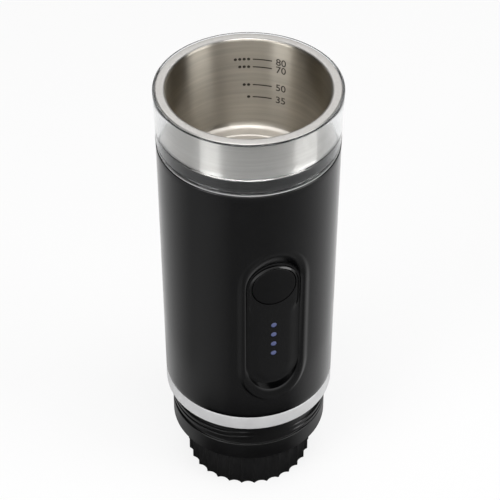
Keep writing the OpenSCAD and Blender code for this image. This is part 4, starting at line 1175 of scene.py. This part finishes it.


# The floor is white to the eye. In reflections its light and shade are painted: dark close to the part as a
# painted shadow, with painted light towards the left lamp and the right, and a level of its own in front, behind
# and at the sides, with fades by the distance from the axis in metres.
FRONT_FADE = (0.068, 0.088)
FRONT_LEVELS = (0.19, 0.32)
LEFT_TURN = 0.8
BACK_FADE = (0.040, 0.054)
BACK_LEVEL = 0.8
BACK_POWER = 1.8
BESIDE_FADE_IN = (0.030, 0.042)
BESIDE_FADE_OUT = (0.064, 0.094)
BESIDE_WAY = (0.72, 0.95)
BESIDE_LEVEL = 0.36
RIGHT_PAINTED_LIGHT = 1.2
FAR_FADE = (0.24, 0.6)
FAR_LEVEL = 0.9
EYE_SHARE = 0.84

floor_finish = Finish("floor_finish", colour=(0.95, 0.95, 0.95), rough=0.9, level=0.0)
graph = Graph(floor_finish.tree)
spot = floor_finish.place((1, 1, 1))
glow = floor_finish.node("ShaderNodeEmission")
direction = floor_finish.node("ShaderNodeVectorMath", operation="NORMALIZE")
floor_finish.link(spot, direction.inputs[0])
way = direction.outputs["Vector"]
length = floor_finish.node("ShaderNodeVectorMath", operation="LENGTH")
floor_finish.link(spot, length.inputs[0])
far = length.outputs["Value"]
behind = graph.ramp(graph.along(way, FRONT), -1.0, 1.0, 1.0, 0.0)
left_way = (math.sin(VIEW_TURN - LEFT_TURN), -math.cos(VIEW_TURN - LEFT_TURN), 0.0)
# painted light of the left lamp on the floor, as metal and glass see it
painted_front_and_left_light = graph.ramp(graph.along(way, left_way), 0.9, 1.0, *FRONT_LEVELS)
front_level = graph.math("MULTIPLY", graph.ramp(far, *FRONT_FADE, 0.0, 1.0), painted_front_and_left_light)
back_level = graph.math("MULTIPLY", graph.ramp(far, *BACK_FADE, 0.0, BACK_LEVEL),
                        graph.math("POWER", behind, BACK_POWER))
sideways = graph.along(way, RIGHT)
beside = graph.ramp(graph.math("ABSOLUTE", sideways, 0.0), *BESIDE_WAY, 0.0, BESIDE_LEVEL)
beside_fade = graph.math("MULTIPLY", graph.ramp(far, *BESIDE_FADE_IN, 0.0, 1.0),
                         graph.ramp(far, *BESIDE_FADE_OUT, 1.0, 0.0))
beside_level = graph.math("MULTIPLY", beside, beside_fade)
near_painted_level = graph.math("ADD", graph.math("ADD", front_level, back_level), beside_level)
# painted light: the right side of the floor is brighter in reflections
painted_right_light = graph.ramp(sideways, 0.2, 1.0, 1.0, RIGHT_PAINTED_LIGHT)
far_share = graph.ramp(far, *FAR_FADE, 0.0, 1.0)
# what reflections see of the floor: painted shadow near the part and painted light around it
painted_reflection = graph.choose(far_share, graph.math("MULTIPLY", near_painted_level, painted_right_light), FAR_LEVEL)
floor_finish.link(graph.choose(graph.ray("Is Glossy Ray"), 1.0, painted_reflection), glow.inputs["Strength"])
share = graph.math("MAXIMUM", graph.ray("Is Glossy Ray"),
                   graph.math("MULTIPLY", graph.ray("Is Camera Ray", "Is Transmission Ray"), EYE_SHARE))
both = floor_finish.node("ShaderNodeMixShader")
floor_finish.link(share, both.inputs["Fac"])
floor_finish.link(floor_finish.shader.outputs["BSDF"], both.inputs[1])
floor_finish.link(glow.outputs["Emission"], both.inputs[2])
floor_finish.link(both.outputs["Shader"], floor_finish.tree.nodes["Material Output"].inputs["Surface"])
paint(floor, floor_finish)

# A backdrop that is white to the eye and light grey through clear pieces. For the rest it is a room that is darker
# behind and above: each row has where its ramp starts and ends, and the levels there.
ROOM_FRONT = (0.0, 0.8, 0.02, 1.2)
ROOM_UP = (0.2, 0.75, 1.0, 0.08)
THROUGH_LEVEL = 0.75

world = bpy.data.worlds.new("studio")
world.use_nodes = True
bpy.context.scene.world = world
sky = world.node_tree.nodes["Background"]
sky.inputs["Color"].default_value = (1, 1, 1, 1)
graph = Graph(world.node_tree)
outward = world.node_tree.nodes.new("ShaderNodeTexCoord").outputs["Generated"]
room = graph.math("MULTIPLY", graph.ramp(graph.along(outward, FRONT), *ROOM_FRONT),
                  graph.ramp(graph.along(outward, (0, 0, 1)), *ROOM_UP))
through = graph.choose(graph.ray("Is Transmission Ray"), room, THROUGH_LEVEL)
world.node_tree.links.new(graph.choose(graph.ray("Is Camera Ray"), through, 1.0), sky.inputs["Strength"])


def soft_light(name, place, aim, size, radiance):
    """Rectangle of even light that the camera doesn't see."""
    data = bpy.data.lights.new(name, "AREA")
    data.shape = "RECTANGLE"
    data.size, data.size_y = size
    data.energy = radiance * math.pi * size[0] * size[1]
    lamp = bpy.data.objects.new(name, data)
    lamp.location = place
    lamp.rotation_euler = (Vector(aim) - Vector(place)).to_track_quat("-Z", "Y").to_euler()
    lamp.visible_camera = False
    bpy.context.scene.collection.objects.link(lamp)


def place_at(side, distance, height):
    """Place at an angle about the axis from the camera's side, positive to the right in the picture."""
    a = VIEW_TURN + math.radians(side)
    return distance * math.sin(a), -distance * math.cos(a), height


soft_light("left_box", place_at(-45, 0.9, 0.46), (0, 0, 0.12), (0.42, 0.86), 3.7)
soft_light("right_box", place_at(70, 0.9, 0.46), (0, 0, 0.12), (0.55, 0.86), 3.7)
soft_light("top_box", place_at(0, 0.2, 1.2), (0, 0, 0.15), (0.6, 0.5), 7.5)
soft_light("back_box", place_at(180, 0.9, 0.95), (0, 0, 0.15), (0.9, 0.5), 1.35)

camera = bpy.data.objects.new("camera", bpy.data.cameras.new("camera"))
camera.location = place_at(0, CAMERA_OUT, CAMERA_UP)
camera.rotation_euler = (math.pi / 2 - CAMERA_TILT, 0, VIEW_TURN)
camera.data.sensor_width = 36
camera.data.lens = CAMERA_LENS
camera.data.shift_x = CAMERA_SHIFT
bpy.context.scene.collection.objects.link(camera)
bpy.context.scene.camera = camera
bpy.context.scene.view_settings.view_transform = "Standard"
